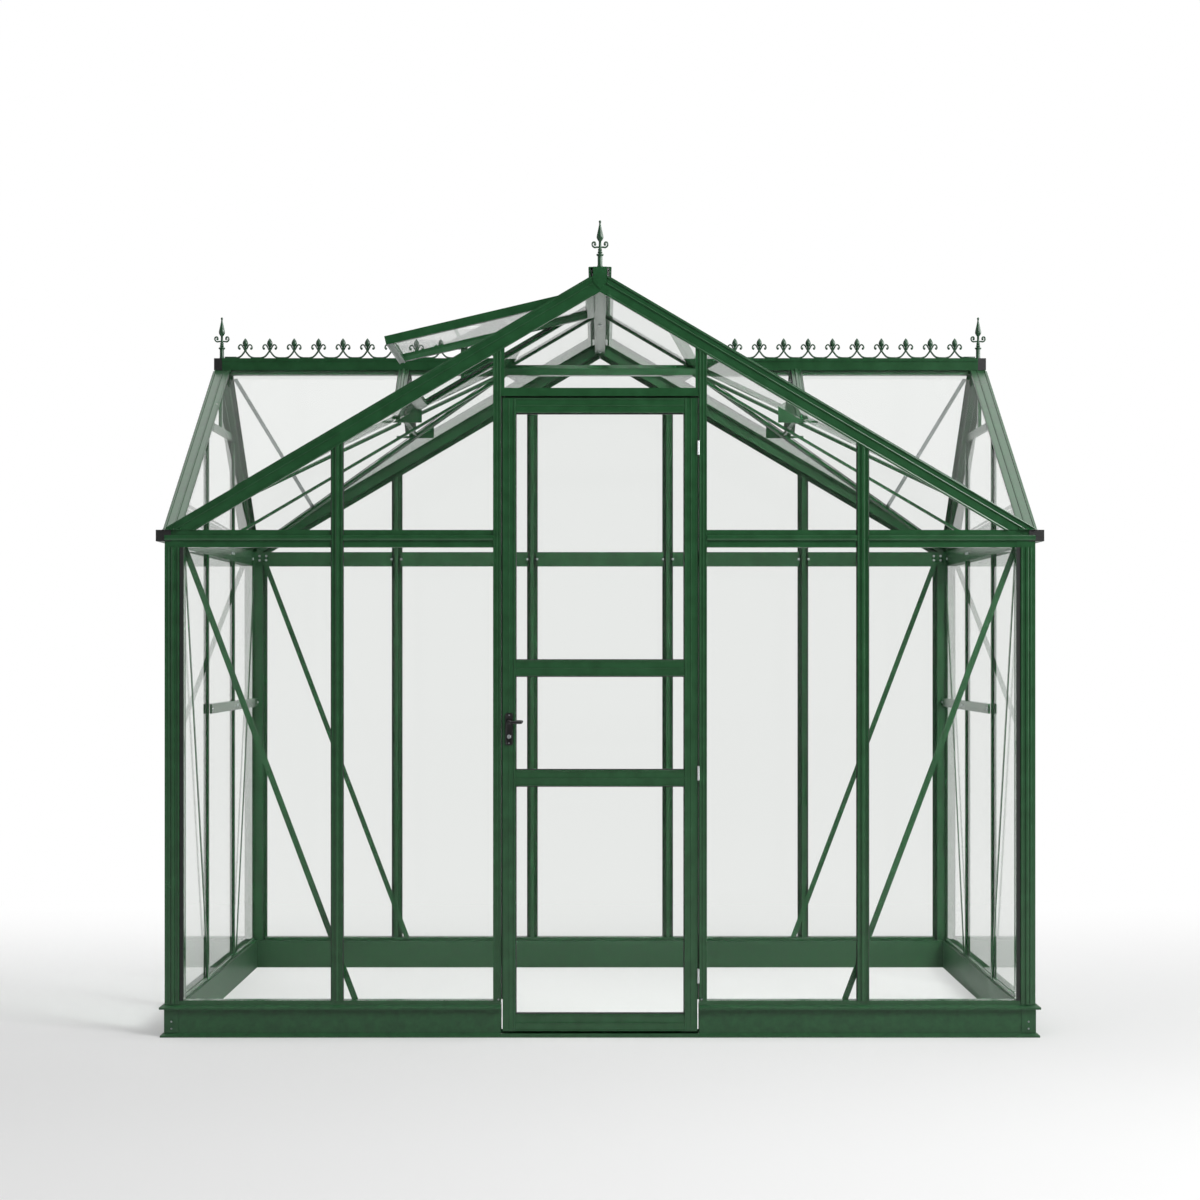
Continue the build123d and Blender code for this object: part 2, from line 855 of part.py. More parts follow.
# Collars and king posts in the side gables
gable_bars = []
for side in (-1, 1):
    roofs = tuple(side_roof(end).offset(-frame_depth - joint_gap) for end in (-1, 1))
    outline = rect(side_inner, side_face, -half_depth, half_depth)
    collar_foot = collar_z - collar_height / 2
    collar_head = collar_z + collar_height / 2
    gable_bars.append(prism(flipped(outline, side), collar_foot, collar_head, (), roofs))
    outline = rect(side_inner, side_face, -king_width / 2, king_width / 2)
    gable_bars.append(prism(flipped(outline, side), collar_head + joint_gap, side_apex, (), roofs))
keep("side_gable_bars", *gable_bars)

# Diagonal braces against the webs inside the walls
braces = []
inside_y = half_depth - frame_depth - brace_thickness / 2
inside_x = side_inner - brace_thickness / 2
brace_top = eave_bottom + brace_width
brace_foot = sill_top - sill_height / 2
for side in (-1, 1):
    for end, head_x, foot_x in (
        (-1, half_width - front_brace_head_in, front_post_x - front_brace_foot_in),
        (1, half_width - back_brace_head_in, back_xs[-1] - back_brace_foot_in),
    ):
        start = (side * head_x, end * inside_y, brace_top)
        finish = (side * foot_x, end * inside_y, brace_foot)
        braces.append(strip_between(start, finish, (0, 1, 0), brace_width, brace_thickness))
for side in (-1, 1):
    for end in (-1, 1):
        start = (side * inside_x, end * (half_depth - corner_leg - brace_width), brace_top)
        finish = (side * inside_x, end * (side_post_y + brace_width), brace_foot)
        braces.append(strip_between(start, finish, (1, 0, 0), brace_width, brace_thickness))
keep("wall_braces", *braces)
rails = []
for side in (-1, 1):
    x0 = side_inner - brace_thickness - mid_rail_thickness - joint_gap
    outline = rect(x0, x0 + mid_rail_thickness, -side_post_y, half_depth - frame_depth - joint_gap)
    rail_foot = mid_rail_z - mid_rail_height / 2
    rails.append(prism(flipped(outline, side), rail_foot, rail_foot + mid_rail_height))
keep("side_mid_rails", *rails)

# Glass of the front wall
pane_bottom = base_height + sill_floor + seat_gap
pane_top = eave_bottom - seat_gap
upper_bottom = eave_top + seat_gap
corner_inner = half_width - corner_leg - edge_gap
back_corner_inner = side_face - frame_depth - edge_gap
post_web = web_width / 2 + edge_gap
front_panes = []
for side in (-1, 1):
    roof_cut = (main_roof(side).offset(-frame_depth - edge_gap),)
    spans = (
        (front_post_x + post_web, corner_inner),
        (door_half + web_width + edge_gap, front_post_x - post_web),
    )
    for x0, x1 in spans:
        a, b = sorted((side * x0, side * x1))
        front_panes.append(end_pane(-1, a, b, pane_bottom, pane_top))
        front_panes.append(end_pane(-1, a, b, upper_bottom, ridge_apex, roof_cut))
both_roofs = (main_roof(1).offset(-frame_depth - edge_gap), main_roof(-1).offset(-frame_depth - edge_gap))
head_bottom = transom_bottom + transom_height + seat_gap
head_end = door_half - edge_gap
front_panes.append(end_pane(-1, -head_end, head_end, head_bottom, ridge_apex, both_roofs))
keep("front_glass", *front_panes)

# Glass of the back wall
back_panes_glass = []
limits = [-back_corner_inner] + [x + s * post_web for x in back_xs for s in (-1, 1)] + [back_corner_inner]
for x0, x1 in zip(limits[0::2], limits[1::2]):
    back_panes_glass.append(end_pane(1, x0, x1, pane_bottom, pane_top))
    back_panes_glass.append(end_pane(1, x0, x1, upper_bottom, ridge_apex, both_roofs))
keep("back_glass", *back_panes_glass)

# Glass of the side walls and side gables
corner_inner_y = half_depth - frame_depth - edge_gap
side_glass = []
for side in (-1, 1):
    bounds = [-corner_inner_y, -side_post_y - post_web, -side_post_y + post_web]
    bounds += [side_post_y - post_web, side_post_y + post_web, corner_inner_y]
    side_cuts = tuple(side_roof(end).offset(-frame_depth - edge_gap) for end in (-1, 1))
    for y0, y1 in zip(bounds[0::2], bounds[1::2]):
        side_glass.append(side_pane(side, y0, y1, pane_bottom, pane_top))
        top = collar_z - collar_height / 2 - seat_gap
        side_glass.append(side_pane(side, y0, y1, upper_bottom, top, side_cuts))
    top_bottom = collar_z + collar_height / 2 + seat_gap
    for end in (-1, 1):
        a, b = sorted((end * (king_width / 2 + edge_gap), end * half_depth))
        side_glass.append(side_pane(side, a, b, top_bottom, side_apex, side_cuts))
keep("side_glass", *side_glass)

# Glass of the main roof, open under the vent
roof_panes = []
gable_edge = half_depth - frame_depth - edge_gap
outer_edge = side_post_y + web_width / 2 + edge_gap
inner_edge = side_post_y - web_width / 2 - edge_gap
ridge_edge = ridge_half + edge_gap
vent_sill_x = valley_x(outer_edge) - vent_sill_margin
tip_y = side_ridge_half + edge_gap
tip_x = valley_start - side_ridge_half * valley_run - 2 * glass_in
spare = glass_valley_margin
head = [(ridge_edge, post_web), (tip_x, post_web), (tip_x, tip_y), (valley_x(tip_y) - spare, tip_y)]
for side in (-1, 1):
    roof = main_roof(side)
    for end in (-1, 1):
        last = inner_edge if (side, end) == (-1, -1) else gable_edge
        outline = head + [(valley_x(last) - spare, last), (ridge_edge, last)]
        roof_panes.append(layer(flipped(outline, side, end), roof, glass_out, glass_in))
start = vent_sill_x + vent_sill_width / 2 + edge_gap
outline = [(start, outer_edge), (valley_x(outer_edge) - spare, outer_edge)]
outline += [(valley_x(gable_edge) - spare, gable_edge), (start, gable_edge)]
roof_panes.append(layer(flipped(outline, -1, -1), main_roof(-1), glass_out, glass_in))
keep("main_roof_glass", *roof_panes)

# Glass of the cross roof
cross_panes = []
for side in (-1, 1):
    for end in (-1, 1):
        roof = side_roof(end)
        top_y = side_ridge_half + edge_gap
        left = jack_x - post_web
        right = jack_x + post_web
        outer = half_width - frame_depth - edge_gap
        outer_top = side_top_face - frame_depth - edge_gap
        inner_tip = valley_x(top_y) + spare
        outline = [(inner_tip, top_y), (left, top_y), (left, valley_y(left - spare))]
        cross_panes.append(layer(flipped(outline, side, end), roof, glass_out, glass_in))
        outline = [(right, top_y), (outer_top, top_y)]
        outline += [(outer, valley_y(outer - spare)), (right, valley_y(right - spare))]
        cross_panes.append(layer(flipped(outline, side, end), roof, glass_out, glass_in))
keep("cross_roof_glass", *cross_panes)

# Vent: its sill in the slope, and the raised frame with its glass
vent_near = half_depth - rafter_leg - vent_side_gap
vent_far = side_post_y + bar_width / 2 + vent_side_gap
sill_plan = rect(
    vent_sill_x - vent_sill_width / 2,
    vent_sill_x + vent_sill_width / 2,
    gusset_y + gusset_thickness + joint_gap,
    half_depth - frame_depth - joint_gap,
)
keep("vent_sill", layer(flipped(sill_plan, -1, -1), main_roof(-1), glass_out, roof_bar_depth + plate))
vent_angle = math.radians(vent_slope_angle)
vent_top = ridge_apex - main_slope * vent_x - vent_top_drop
down = Vector(-math.cos(vent_angle), 0, -math.sin(vent_angle))
out = Vector(-math.sin(vent_angle), 0, math.cos(vent_angle))
vent_under = vent_top - vent_bar_depth / math.cos(vent_angle)
vent_plane = Plane(origin=(-vent_x, 0, vent_under), x_dir=down, z_dir=out)
ridge_side = Plane(origin=(-ridge_half - joint_gap, 0, 0), z_dir=(1, 0, 0))


def vent_piece(s0, s1, y0, y1, low_z, high_z):
    """A box in the raised vent, down its slope, across it and through it, cut beside the ridge."""
    with BuildPart() as piece:
        with BuildSketch(vent_plane.offset(low_z)):
            with Locations(((s0 + s1) / 2, (y0 + y1) / 2)):
                Rectangle(s1 - s0, y1 - y0)
        extrude(amount=high_z - low_z)
        split(bisect_by=ridge_side, keep=Keep.BOTTOM)
    return piece.part


side_sign = round(vent_plane.y_dir.Y)
n0, n1 = sorted((side_sign * -vent_near, side_sign * -vent_far))
w = vent_bar_width
vent_head = -(vent_x - ridge_half - joint_gap) / math.cos(vent_angle)
past_ridge = vent_head - vent_bar_depth
inner_near = n0 + w + joint_gap
inner_far = n1 - w - joint_gap
keep(
    "vent_frame",
    vent_piece(past_ridge, vent_length, n0, n0 + w, 0, vent_bar_depth),
    vent_piece(past_ridge, vent_length, n1 - w, n1, 0, vent_bar_depth),
    vent_piece(past_ridge, vent_head + w, inner_near, inner_far, 0, vent_bar_depth),
    vent_piece(vent_length - w, vent_length, inner_near, inner_far, 0, vent_bar_depth),
)
seat = vent_bar_depth / 2
pane_head = vent_head + w + seat_gap
pane_foot = vent_length - w - seat_gap
pane_near = n0 + w + seat_gap
pane_far = n1 - w - seat_gap
keep("vent_glass", vent_piece(pane_head, pane_foot, pane_near, pane_far, seat, seat + glass))
stay_x = -vent_x - (vent_length - stay_start) * math.cos(vent_angle)
stay_top = vent_plane.offset(-seat_gap)
stay_y = -vent_far - stay_depth / 2
stay_plan = rect(stay_x, stay_x + stay_width, stay_y, stay_y + stay_depth)
keep("vent_stay", prism(stay_plan, eave_top, ridge_apex, (main_roof(-1).offset(seat_gap),), (stay_top,)))

# Door leaf
front = -leaf_front
back = -leaf_back
handle_x = -leaf_half + handle_x_offset
stiles = []
for side in (-1, 1):
    outline = rect(leaf_half - stile_width, leaf_half, front, back)
    with BuildPart() as stile:
        add(prism(flipped(outline, side), leaf_bottom, leaf_top))
        with BuildSketch(Plane.XZ.offset(-front)):
            with Locations((handle_x, spindle_z)):
                Circle(spindle_radius + spindle_clearance)
        extrude(amount=-leaf_thickness, mode=Mode.SUBTRACT)
    stiles.append(stile.part)
rail_half = leaf_half - stile_width
rail_bands = [
    (leaf_bottom, leaf_bottom + bottom_rail_height),
    (mid_rail_zs[1] - leaf_rail_height / 2, mid_rail_zs[1] + leaf_rail_height / 2),
    (mid_rail_zs[0] - leaf_rail_height / 2, mid_rail_zs[0] + leaf_rail_height / 2),
    (leaf_top - top_rail_height, leaf_top),
]
leaf_rails = [prism(rect(-rail_half, rail_half, front, back), z0, z1) for z0, z1 in rail_bands]
keep("door_stiles", *stiles)
keep("door_rails", *leaf_rails)
leaf_glass = []
glass_front = front + (leaf_thickness - glass) / 2
for lower_band, upper_band in zip(rail_bands[:-1], rail_bands[1:]):
    outline = rect(-rail_half + seat_gap, rail_half - seat_gap, glass_front, glass_front + glass)
    leaf_glass.append(prism(outline, lower_band[1] + seat_gap, upper_band[0] - seat_gap))
keep("door_glass", *leaf_glass)

# Hinges: a lower knuckle with its pin on the post and an upper knuckle on the leaf
hinge_x = (leaf_half + door_half) / 2
hinge_y = front - hinge_axis_out
post_hinges = []
leaf_hinges = []
for z in hinge_zs:
    with BuildPart() as post_hinge:
        with BuildSketch(Plane.XY.offset(z - knuckle_length / 2)):
            with Locations((hinge_x, hinge_y)):
                Circle(knuckle_radius)
        extrude(amount=knuckle_length / 2 - knuckle_gap)
        with BuildSketch(Plane.XY.offset(z - knuckle_length / 2)):
            with Locations((door_half - tab_thickness / 2, hinge_y + tab_reach / 2)):
                Rectangle(tab_thickness, tab_reach)
        extrude(amount=knuckle_length / 2 - knuckle_gap)
        with BuildSketch(Plane.XY.offset(z - knuckle_length / 2)):
            with Locations((hinge_x, hinge_y)):
                Circle(pin_radius)
        extrude(amount=knuckle_length)
    post_hinges.append(post_hinge.part)
    with BuildPart() as leaf_hinge:
        with BuildSketch(Plane.XY.offset(z)):
            with Locations((hinge_x, hinge_y)):
                Circle(knuckle_radius)
            with Locations((leaf_half + tab_thickness / 2, hinge_y + tab_reach / 2)):
                Rectangle(tab_thickness, tab_reach)
            with Locations((hinge_x, hinge_y)):
                Circle(pin_radius + pin_clearance, mode=Mode.SUBTRACT)
        extrude(amount=knuckle_length / 2)
    leaf_hinges.append(leaf_hinge.part)
keep("post_hinge_halves", *post_hinges)
keep("leaf_hinge_halves", *leaf_hinges)

# Handle plates on both faces of the left stile, and the levers on one spindle
plate_half = handle_plate_width / 2
plates = []
for face_y, out in ((front, -1), (back, 1)):
    y0, y1 = sorted((face_y, face_y + out * handle_plate_thickness))
    with BuildPart() as backplate:
        with BuildSketch(Plane.XZ.offset(-y0)):
            with Locations((handle_x, (plate_z[0] + plate_z[1]) / 2)):
                RectangleRounded(handle_plate_width, plate_z[1] - plate_z[0], plate_half / 2)
            with Locations((handle_x, spindle_z)):
                Circle(spindle_radius + spindle_clearance, mode=Mode.SUBTRACT)
        extrude(amount=-(y1 - y0))
    plates.append(backplate.part)
keep("handle_plates", *plates)
boss_start = handle_plate_thickness + spindle_clearance
lever_end = lever_standoff + lever_thickness
with BuildPart() as levers:
    with BuildSketch(Plane.XZ.offset(-(front - boss_start))):
        with Locations((handle_x, spindle_z)):
            Circle(spindle_radius)
    extrude(amount=-(leaf_thickness + 2 * boss_start))
    for face_y, out in ((front, -1), (back, 1)):
        foot = face_y + out * boss_start
        tip = face_y + out * lever_end
        with BuildSketch(Plane.XZ.offset(-foot)):
            with Locations((handle_x, spindle_z)):
                Circle(lever_boss_radius)
        extrude(amount=-(tip - foot))
        inner_face = face_y + out * lever_standoff
        with BuildSketch(Plane.XZ.offset(-inner_face)):
            with Locations((handle_x + lever_length / 2, spindle_z)):
                SlotCenterToCenter(lever_length, lever_height)
        extrude(amount=-(tip - inner_face))
keep("door_levers", levers.part)


# Finials: a turned stem with a bud, and two scrolled arms
def finial(x, y, foot):
    """A finial standing on a ridge end."""
    bud_foot, bud_middle, bud_head = finial_bud
    ring_foot, ring_head = finial_collar
    profile = [
        (0, 0),
        (finial_foot_radius, 0),
        (finial_foot_radius, ring_foot),
        (finial_collar_radius, ring_foot),
        (finial_collar_radius, ring_head),
        (finial_stem_radius, ring_head),
        (finial_stem_radius, bud_foot),
        (finial_bud_radius, bud_middle),
        (finial_neck_radius, bud_head),
        (finial_stem_radius, finial_height - finial_tip_height),
        (0, finial_height),
    ]
    with BuildPart() as spire:
        with BuildSketch(Plane(origin=(x, y, foot), x_dir=(1, 0, 0), z_dir=(0, -1, 0))):
            with BuildLine():
                Polyline(*profile, close=True)
            make_face()
        revolve(axis=Axis((x, y, foot), (0, 0, 1)))
        face = Plane(origin=(x, y + finial_scroll_thickness / 2, foot), x_dir=(1, 0, 0), z_dir=(0, -1, 0))
        for side in (-1, 1):
            with BuildSketch(face):
                with Locations((side * finial_scroll_out, finial_scroll_z)):
                    Circle(finial_scroll_radius)
                    Circle(finial_scroll_radius - finial_scroll_line, mode=Mode.SUBTRACT)
                    with Locations((0, -finial_scroll_radius)):
                        Rectangle(3 * finial_scroll_radius, finial_scroll_radius, mode=Mode.SUBTRACT)
            extrude(amount=finial_scroll_thickness)
    return spire.part


finials = [finial(0, end * (half_depth - finial_back), cap_top) for end in (-1, 1)]
finials += [finial(side * (ridge_end_face - finial_in), 0, side_cap_top) for side in (-1, 1)]
keep("finials", *finials)


# Cresting along the side ridges: swags on feet that carry a lily where they meet
def cresting(side):
    """One side's cresting, as one flat casting."""
    with BuildPart() as crest:
        face = Plane(origin=(0, cresting_thickness / 2, side_cap_top), x_dir=(1, 0, 0), z_dir=(0, -1, 0))
        with BuildSketch(face):
            for i in range(cresting_count):
                x = side * (cresting_start + i * cresting_pitch)
                bud_z = fleur_height - bud_rise
                with Locations((x, (swag_height + bud_z) / 2)):
                    Rectangle(swag_line * 1.6, bud_z - swag_height)
                with Locations((x, bud_z)):
                    Ellipse(bud_half, bud_rise)
                with Locations((x, (swag_height + bud_z) / 2)):
                    Rectangle(2 * fleur_arm, fleur_arm_line)
                for hand in (-1, 1):
                    with Locations((x + hand * fleur_arm, (swag_height + bud_z) / 2)):
                        Circle(fleur_arm_line)
            half = cresting_pitch / 2
            beyond_width = cresting_pitch
            for i in range(cresting_count + 1):
                x = side * (cresting_start + (i - 0.5) * cresting_pitch)
                with Locations((x, foot_height / 2)):
                    Rectangle(foot_width, foot_height)
                with BuildLine():
                    low = foot_height / 2
                    lower = ThreePointArc((x - half, swag_height), (x, low), (x + half, swag_height))
                    upper = ThreePointArc(
                        (x - half, swag_height + swag_line),
                        (x, low + swag_line),
                        (x + half, swag_height + swag_line),
                    )
                    Line(lower @ 0, upper @ 0)
                    Line(lower @ 1, upper @ 1)
                make_face()
            for i in (0, cresting_count):
                cut = (foot_width + beyond_width) / 2 * (1 if i else -1)
                x = side * (cresting_start + (i - 0.5) * cresting_pitch + cut)
                with Locations((x, fleur_height / 2)):
                    Rectangle(beyond_width, fleur_height, mode=Mode.SUBTRACT)
        extrude(amount=cresting_thickness)
    return crest.part


keep("left_cresting", cresting(-1))
keep("right_cresting", cresting(1))
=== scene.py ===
import math

import bpy
from mathutils import Matrix, Vector


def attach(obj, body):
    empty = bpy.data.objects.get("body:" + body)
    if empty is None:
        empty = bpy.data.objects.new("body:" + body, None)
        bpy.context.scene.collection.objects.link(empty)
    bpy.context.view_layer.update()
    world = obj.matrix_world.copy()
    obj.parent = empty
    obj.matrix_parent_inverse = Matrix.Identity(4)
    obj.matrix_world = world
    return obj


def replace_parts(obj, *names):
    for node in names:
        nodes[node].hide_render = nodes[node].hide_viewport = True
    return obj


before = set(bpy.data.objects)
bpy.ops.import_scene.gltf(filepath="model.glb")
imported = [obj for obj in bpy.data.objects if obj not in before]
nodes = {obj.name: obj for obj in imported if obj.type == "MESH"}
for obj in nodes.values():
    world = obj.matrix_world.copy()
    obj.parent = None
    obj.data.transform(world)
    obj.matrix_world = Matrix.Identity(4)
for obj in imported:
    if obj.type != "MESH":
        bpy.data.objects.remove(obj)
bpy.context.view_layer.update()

# Sizes that the scene's own pieces share with the frame, in metres
HALF_WIDTH = 1.6
HALF_DEPTH = 0.965
RIDGE_APEX = 2.812
SIDE_APEX = 2.59
RIDGE_FOOT = RIDGE_APEX - 0.056
ROOF_FOOT = 1.87
WALL_FOOT = 0.120
SILL_TOP = 0.134
EAVE_BOTTOM = 1.800
EAVE_TOP = 1.864
SIDE_FACE = 1.562
SIDE_TOP_FACE = 1.570
GLASS_DEPTH = 0.0062
BAR_HALF = 0.0205
RAFTER_FACE = 0.063
RAFTER_LEG = 0.062
CAP_HALF = 0.0385
FRONT_POST_X = 0.966
BACK_POSTS = (0.305, 0.915)
DOOR_POST_X = 0.3785
MAIN_SLOPE = (RIDGE_APEX - ROOF_FOOT) / HALF_WIDTH
SIDE_SLOPE = (SIDE_APEX - ROOF_FOOT) / HALF_DEPTH
VALLEY_START = (RIDGE_APEX - SIDE_APEX) / MAIN_SLOPE
VALLEY_RUN = SIDE_SLOPE / MAIN_SLOPE
SIDE_POST_Y = 2 * HALF_DEPTH / 6
JACK_X = VALLEY_START + VALLEY_RUN * SIDE_POST_Y + 0.015
JACK_END = SIDE_POST_Y + 0.0076


# Finishes

def colour(code):
    """An sRGB hex value as linear red, green, blue and alpha."""
    parts = [int(code[i:i + 2], 16) / 255 for i in (1, 3, 5)]
    return tuple(p / 12.92 if p <= 0.04045 else ((p + 0.055) / 1.055) ** 2.4 for p in parts) + (1.0,)


def add_node(tree, kind, links=(), **settings):
    """A node with its settings, and its inputs joined to the outputs given."""
    node = tree.nodes.new(kind)
    for name, value in settings.items():
        if name in node.bl_rna.properties:
            setattr(node, name, value)
        else:
            node.inputs[name.replace("_", " ")].default_value = value
    for socket, source in links:
        tree.links.new(source, node.inputs[socket])
    return node


def finish_named(name):
    """A new material with only its output node."""
    material = bpy.data.materials.new(name)
    material.use_nodes = True
    tree = material.node_tree
    tree.nodes.clear()
    return material, tree, tree.nodes.new("ShaderNodeOutputMaterial")


def two_tones(tree, factor, low, high):
    """A ramp from one colour to another over the middle of a noise."""
    ramp = add_node(tree, "ShaderNodeValToRGB", [("Fac", factor)])
    ramp.color_ramp.elements[0].position = 0.3
    ramp.color_ramp.elements[0].color = colour(low)
    ramp.color_ramp.elements[1].position = 0.7
    ramp.color_ramp.elements[1].color = colour(high)
    return ramp.outputs["Color"]


def coated_metal(name, low, high, mottle_mm, grain_mm, rough_low, rough_high, bump):
    """Paint or powder on metal: faint mottling and the fine peel of a sprayed coat."""
    material, tree, out = finish_named(name)
    place = add_node(tree, "ShaderNodeTexCoord").outputs["Object"]
    mottle = add_node(tree, "ShaderNodeTexNoise", [("Vector", place)],
                      Scale=1000 / mottle_mm, Detail=4.0, Roughness=0.6).outputs["Fac"]
    peel = add_node(tree, "ShaderNodeTexNoise", [("Vector", place)],
                    Scale=1000 / grain_mm, Detail=2.0, Roughness=0.5).outputs["Fac"]
    gloss = add_node(tree, "ShaderNodeMapRange", [("Value", mottle)], To_Min=rough_low, To_Max=rough_high)
    relief = add_node(tree, "ShaderNodeBump", [("Height", peel)], Strength=bump, Distance=0.0004)
    shader = add_node(tree, "ShaderNodeBsdfPrincipled", [
        ("Base Color", two_tones(tree, mottle, low, high)),
        ("Roughness", gloss.outputs["Result"]),
        ("Normal", relief.outputs["Normal"]),
    ], Specular_IOR_Level=0.5)
    tree.links.new(shader.outputs["BSDF"], out.inputs["Surface"])
    return material


def bare_metal(name, low, high, grain_mm, rough_low, rough_high):
    """Uncoated metal with the fine streaks of drawing or rolling."""
    material, tree, out = finish_named(name)
    place = add_node(tree, "ShaderNodeTexCoord").outputs["Object"]
    stretched = add_node(tree, "ShaderNodeMapping", [("Vector", place)],
                         Scale=(1.0, 1.0, 0.06)).outputs["Vector"]
    streaks = add_node(tree, "ShaderNodeTexNoise", [("Vector", stretched)],
                       Scale=1000 / grain_mm, Detail=3.0, Roughness=0.6).outputs["Fac"]
    gloss = add_node(tree, "ShaderNodeMapRange", [("Value", streaks)], To_Min=rough_low, To_Max=rough_high)
    shader = add_node(tree, "ShaderNodeBsdfPrincipled", [
        ("Base Color", two_tones(tree, streaks, low, high)),
        ("Roughness", gloss.outputs["Result"]),
    ], Metallic=1.0)
    tree.links.new(shader.outputs["BSDF"], out.inputs["Surface"])
    return material


def clear_glass(name, tint):
    """Clear float glass that lets the lamps through to what stands behind it."""
    material, tree, out = finish_named(name)
    pane = add_node(tree, "ShaderNodeBsdfPrincipled", Base_Color=colour(tint), Roughness=0.0, IOR=1.15)
    pane.inputs["Transmission Weight"].default_value = 1.0
    open_light = add_node(tree, "ShaderNodeBsdfTransparent", Color=colour("#f4f7f5"))
    lamp_ray = add_node(tree, "ShaderNodeLightPath").outputs["Is Shadow Ray"]
    mixed = add_node(tree, "ShaderNodeMixShader", [
        ("Fac", lamp_ray), (1, pane.outputs["BSDF"]), (2, open_light.outputs["BSDF"]),
    ])
    tree.links.new(mixed.outputs["Shader"], out.inputs["Surface"])
    return material


# Powder-coated aluminium extrusions: an even moss green with a soft sheen and a fine peel
powder_coat = coated_metal("powder_coated_aluminium", "#1c4727", "#235330", 60, 3, 0.20, 0.30, 0.2)
# Powder-coated folded steel: the same green with a slightly coarser, mottled coat
base_coat = coated_metal("powder_coated_steel", "#1a4226", "#245330", 25, 4, 0.34, 0.50, 0.4)
# Painted cast aluminium: a darker brushed paint that fills the fine detail
cast_paint = coated_metal("painted_cast_aluminium", "#173a24", "#214a2e", 18, 5, 0.30, 0.45, 0.5)
# Satin black paint on the die-cast door furniture
black_paint = coated_metal("satin_black_paint", "#0d0e0e", "#161817", 12, 2, 0.28, 0.40, 0.2)
# Moulded polypropylene of the gutter and ridge caps: dull black with a spark-eroded grain
moulded_plastic = coated_metal("moulded_polypropylene", "#101211", "#191b1a", 30, 1.5, 0.42, 0.55, 0.35)
# EPDM glazing rubber: dull, nearly black
glazing_rubber_and_shade_strip = coated_metal("epdm_rubber", "#0c0f0d", "#151a17", 20, 2, 0.50, 0.65, 0.3)
# Mill-finish aluminium of the hinge knuckles: bright, with drawing lines along its length
mill_aluminium = bare_metal("mill_finish_aluminium", "#b9bcbd", "#d3d6d7", 1.5, 0.22, 0.36)
# Zinc-plated steel of screws and bolts: a cool bright grey
zinc_plate = bare_metal("zinc_plated_steel", "#9fa4a6", "#c3c8ca", 2, 0.25, 0.40)
# Horticultural float glass, 4 mm: neutral and a little grey against white
float_glass = clear_glass("horticultural_float_glass", "#f3f4f3")

GLASS_NODES = ["back_glass", "cross_roof_glass", "door_glass", "front_glass", "main_roof_glass", "side_glass",
               "vent_glass"]
STEEL_NODES = ["base_front", "base_back", "base_sides", "base_corner_plates", "door_threshold"]
CAST_NODES = ["finials", "left_cresting", "right_cresting"]
PLASTIC_NODES = ["gutter_end_caps", "side_ridge_ends"]
FURNITURE_NODES = ["door_levers", "handle_plates"]
HINGE_NODES = ["leaf_hinge_halves", "post_hinge_halves"]


def coat_node(name, material):
    """Gives a frame node one finish."""
    mesh = nodes[name].data
    mesh.materials.clear()
    mesh.materials.append(material)


for group, material in ((GLASS_NODES, float_glass), (STEEL_NODES, base_coat), (CAST_NODES, cast_paint),
                        (PLASTIC_NODES, moulded_plastic), (FURNITURE_NODES, black_paint),
                        (HINGE_NODES, mill_aluminium)):
    for name in group:
        coat_node(name, material)
special = GLASS_NODES + STEEL_NODES + CAST_NODES + PLASTIC_NODES + FURNITURE_NODES + HINGE_NODES
for name in nodes:
    if name not in special:
        coat_node(name, powder_coat)


# Modelling helpers

def new_block(name, low, high):
    """A block between two corners, the only thing selected."""
    bpy.ops.object.select_all(action="DESELECT")
    size = [b - a for a, b in zip(low, high)]
    middle = [(a + b) / 2 for a, b in zip(low, high)]
    bpy.ops.mesh.primitive_cube_add(size=1, location=middle, scale=size)
    bpy.ops.object.transform_apply(location=True, rotation=True, scale=True)
    piece = bpy.context.object
    piece.name = name
    return piece


def pick(piece, kind, test):
    """Selects, in edit mode, the faces or edges whose middle and direction pass a test."""
    by_face = kind == "faces"
    bpy.context.tool_settings.mesh_select_mode = (False, not by_face, by_face)
    bpy.ops.object.mode_set(mode="EDIT")
    bpy.ops.mesh.select_all(action="DESELECT")
    bpy.ops.object.mode_set(mode="OBJECT")
    mesh = piece.data
    if by_face:
        for face in mesh.polygons:
            face.select = test(face.center, face.normal)
    else:
        for edge in mesh.edges:
            a, b = (mesh.vertices[i].co for i in edge.vertices)
            edge.select = test((a + b) / 2, (b - a).normalized())
    bpy.ops.object.mode_set(mode="EDIT")


STRIP = 0.0012
SUNK = 0.0002
NEAR = 1e-5


def ribbed_strip(name, length, half, ribs):
    """A strip along X with rounded ribs on its upper face, each as its two sides and its height."""
    piece = new_block(name, (0, -half, -SUNK), (length, half, STRIP))
    bpy.ops.object.mode_set(mode="EDIT")
    for y in sorted({side for rib in ribs for side in rib[:2] if abs(side) < half - NEAR}):
        bpy.ops.mesh.select_all(action="SELECT")
        bpy.ops.mesh.bisect(plane_co=(0, y, 0), plane_no=(0, 1, 0))
    for y0, y1, height in ribs:
        pick(piece, "faces", lambda c, n: n.z > 0.9 and y0 < c.y < y1)
        bpy.ops.mesh.extrude_region_move(TRANSFORM_OT_translate={"value": (0, 0, height)})
    for y0, y1, height in ribs:
        top = STRIP + height
        pick(piece, "edges",
             lambda c, d: abs(d.x) > 0.9 and abs(c.z - top) < 10 * NEAR and y0 - NEAR < c.y < y1 + NEAR)
        bpy.ops.mesh.bevel(offset=min(0.35 * (y1 - y0), 0.75 * height), segments=2)
    bpy.ops.object.mode_set(mode="OBJECT")
    return piece


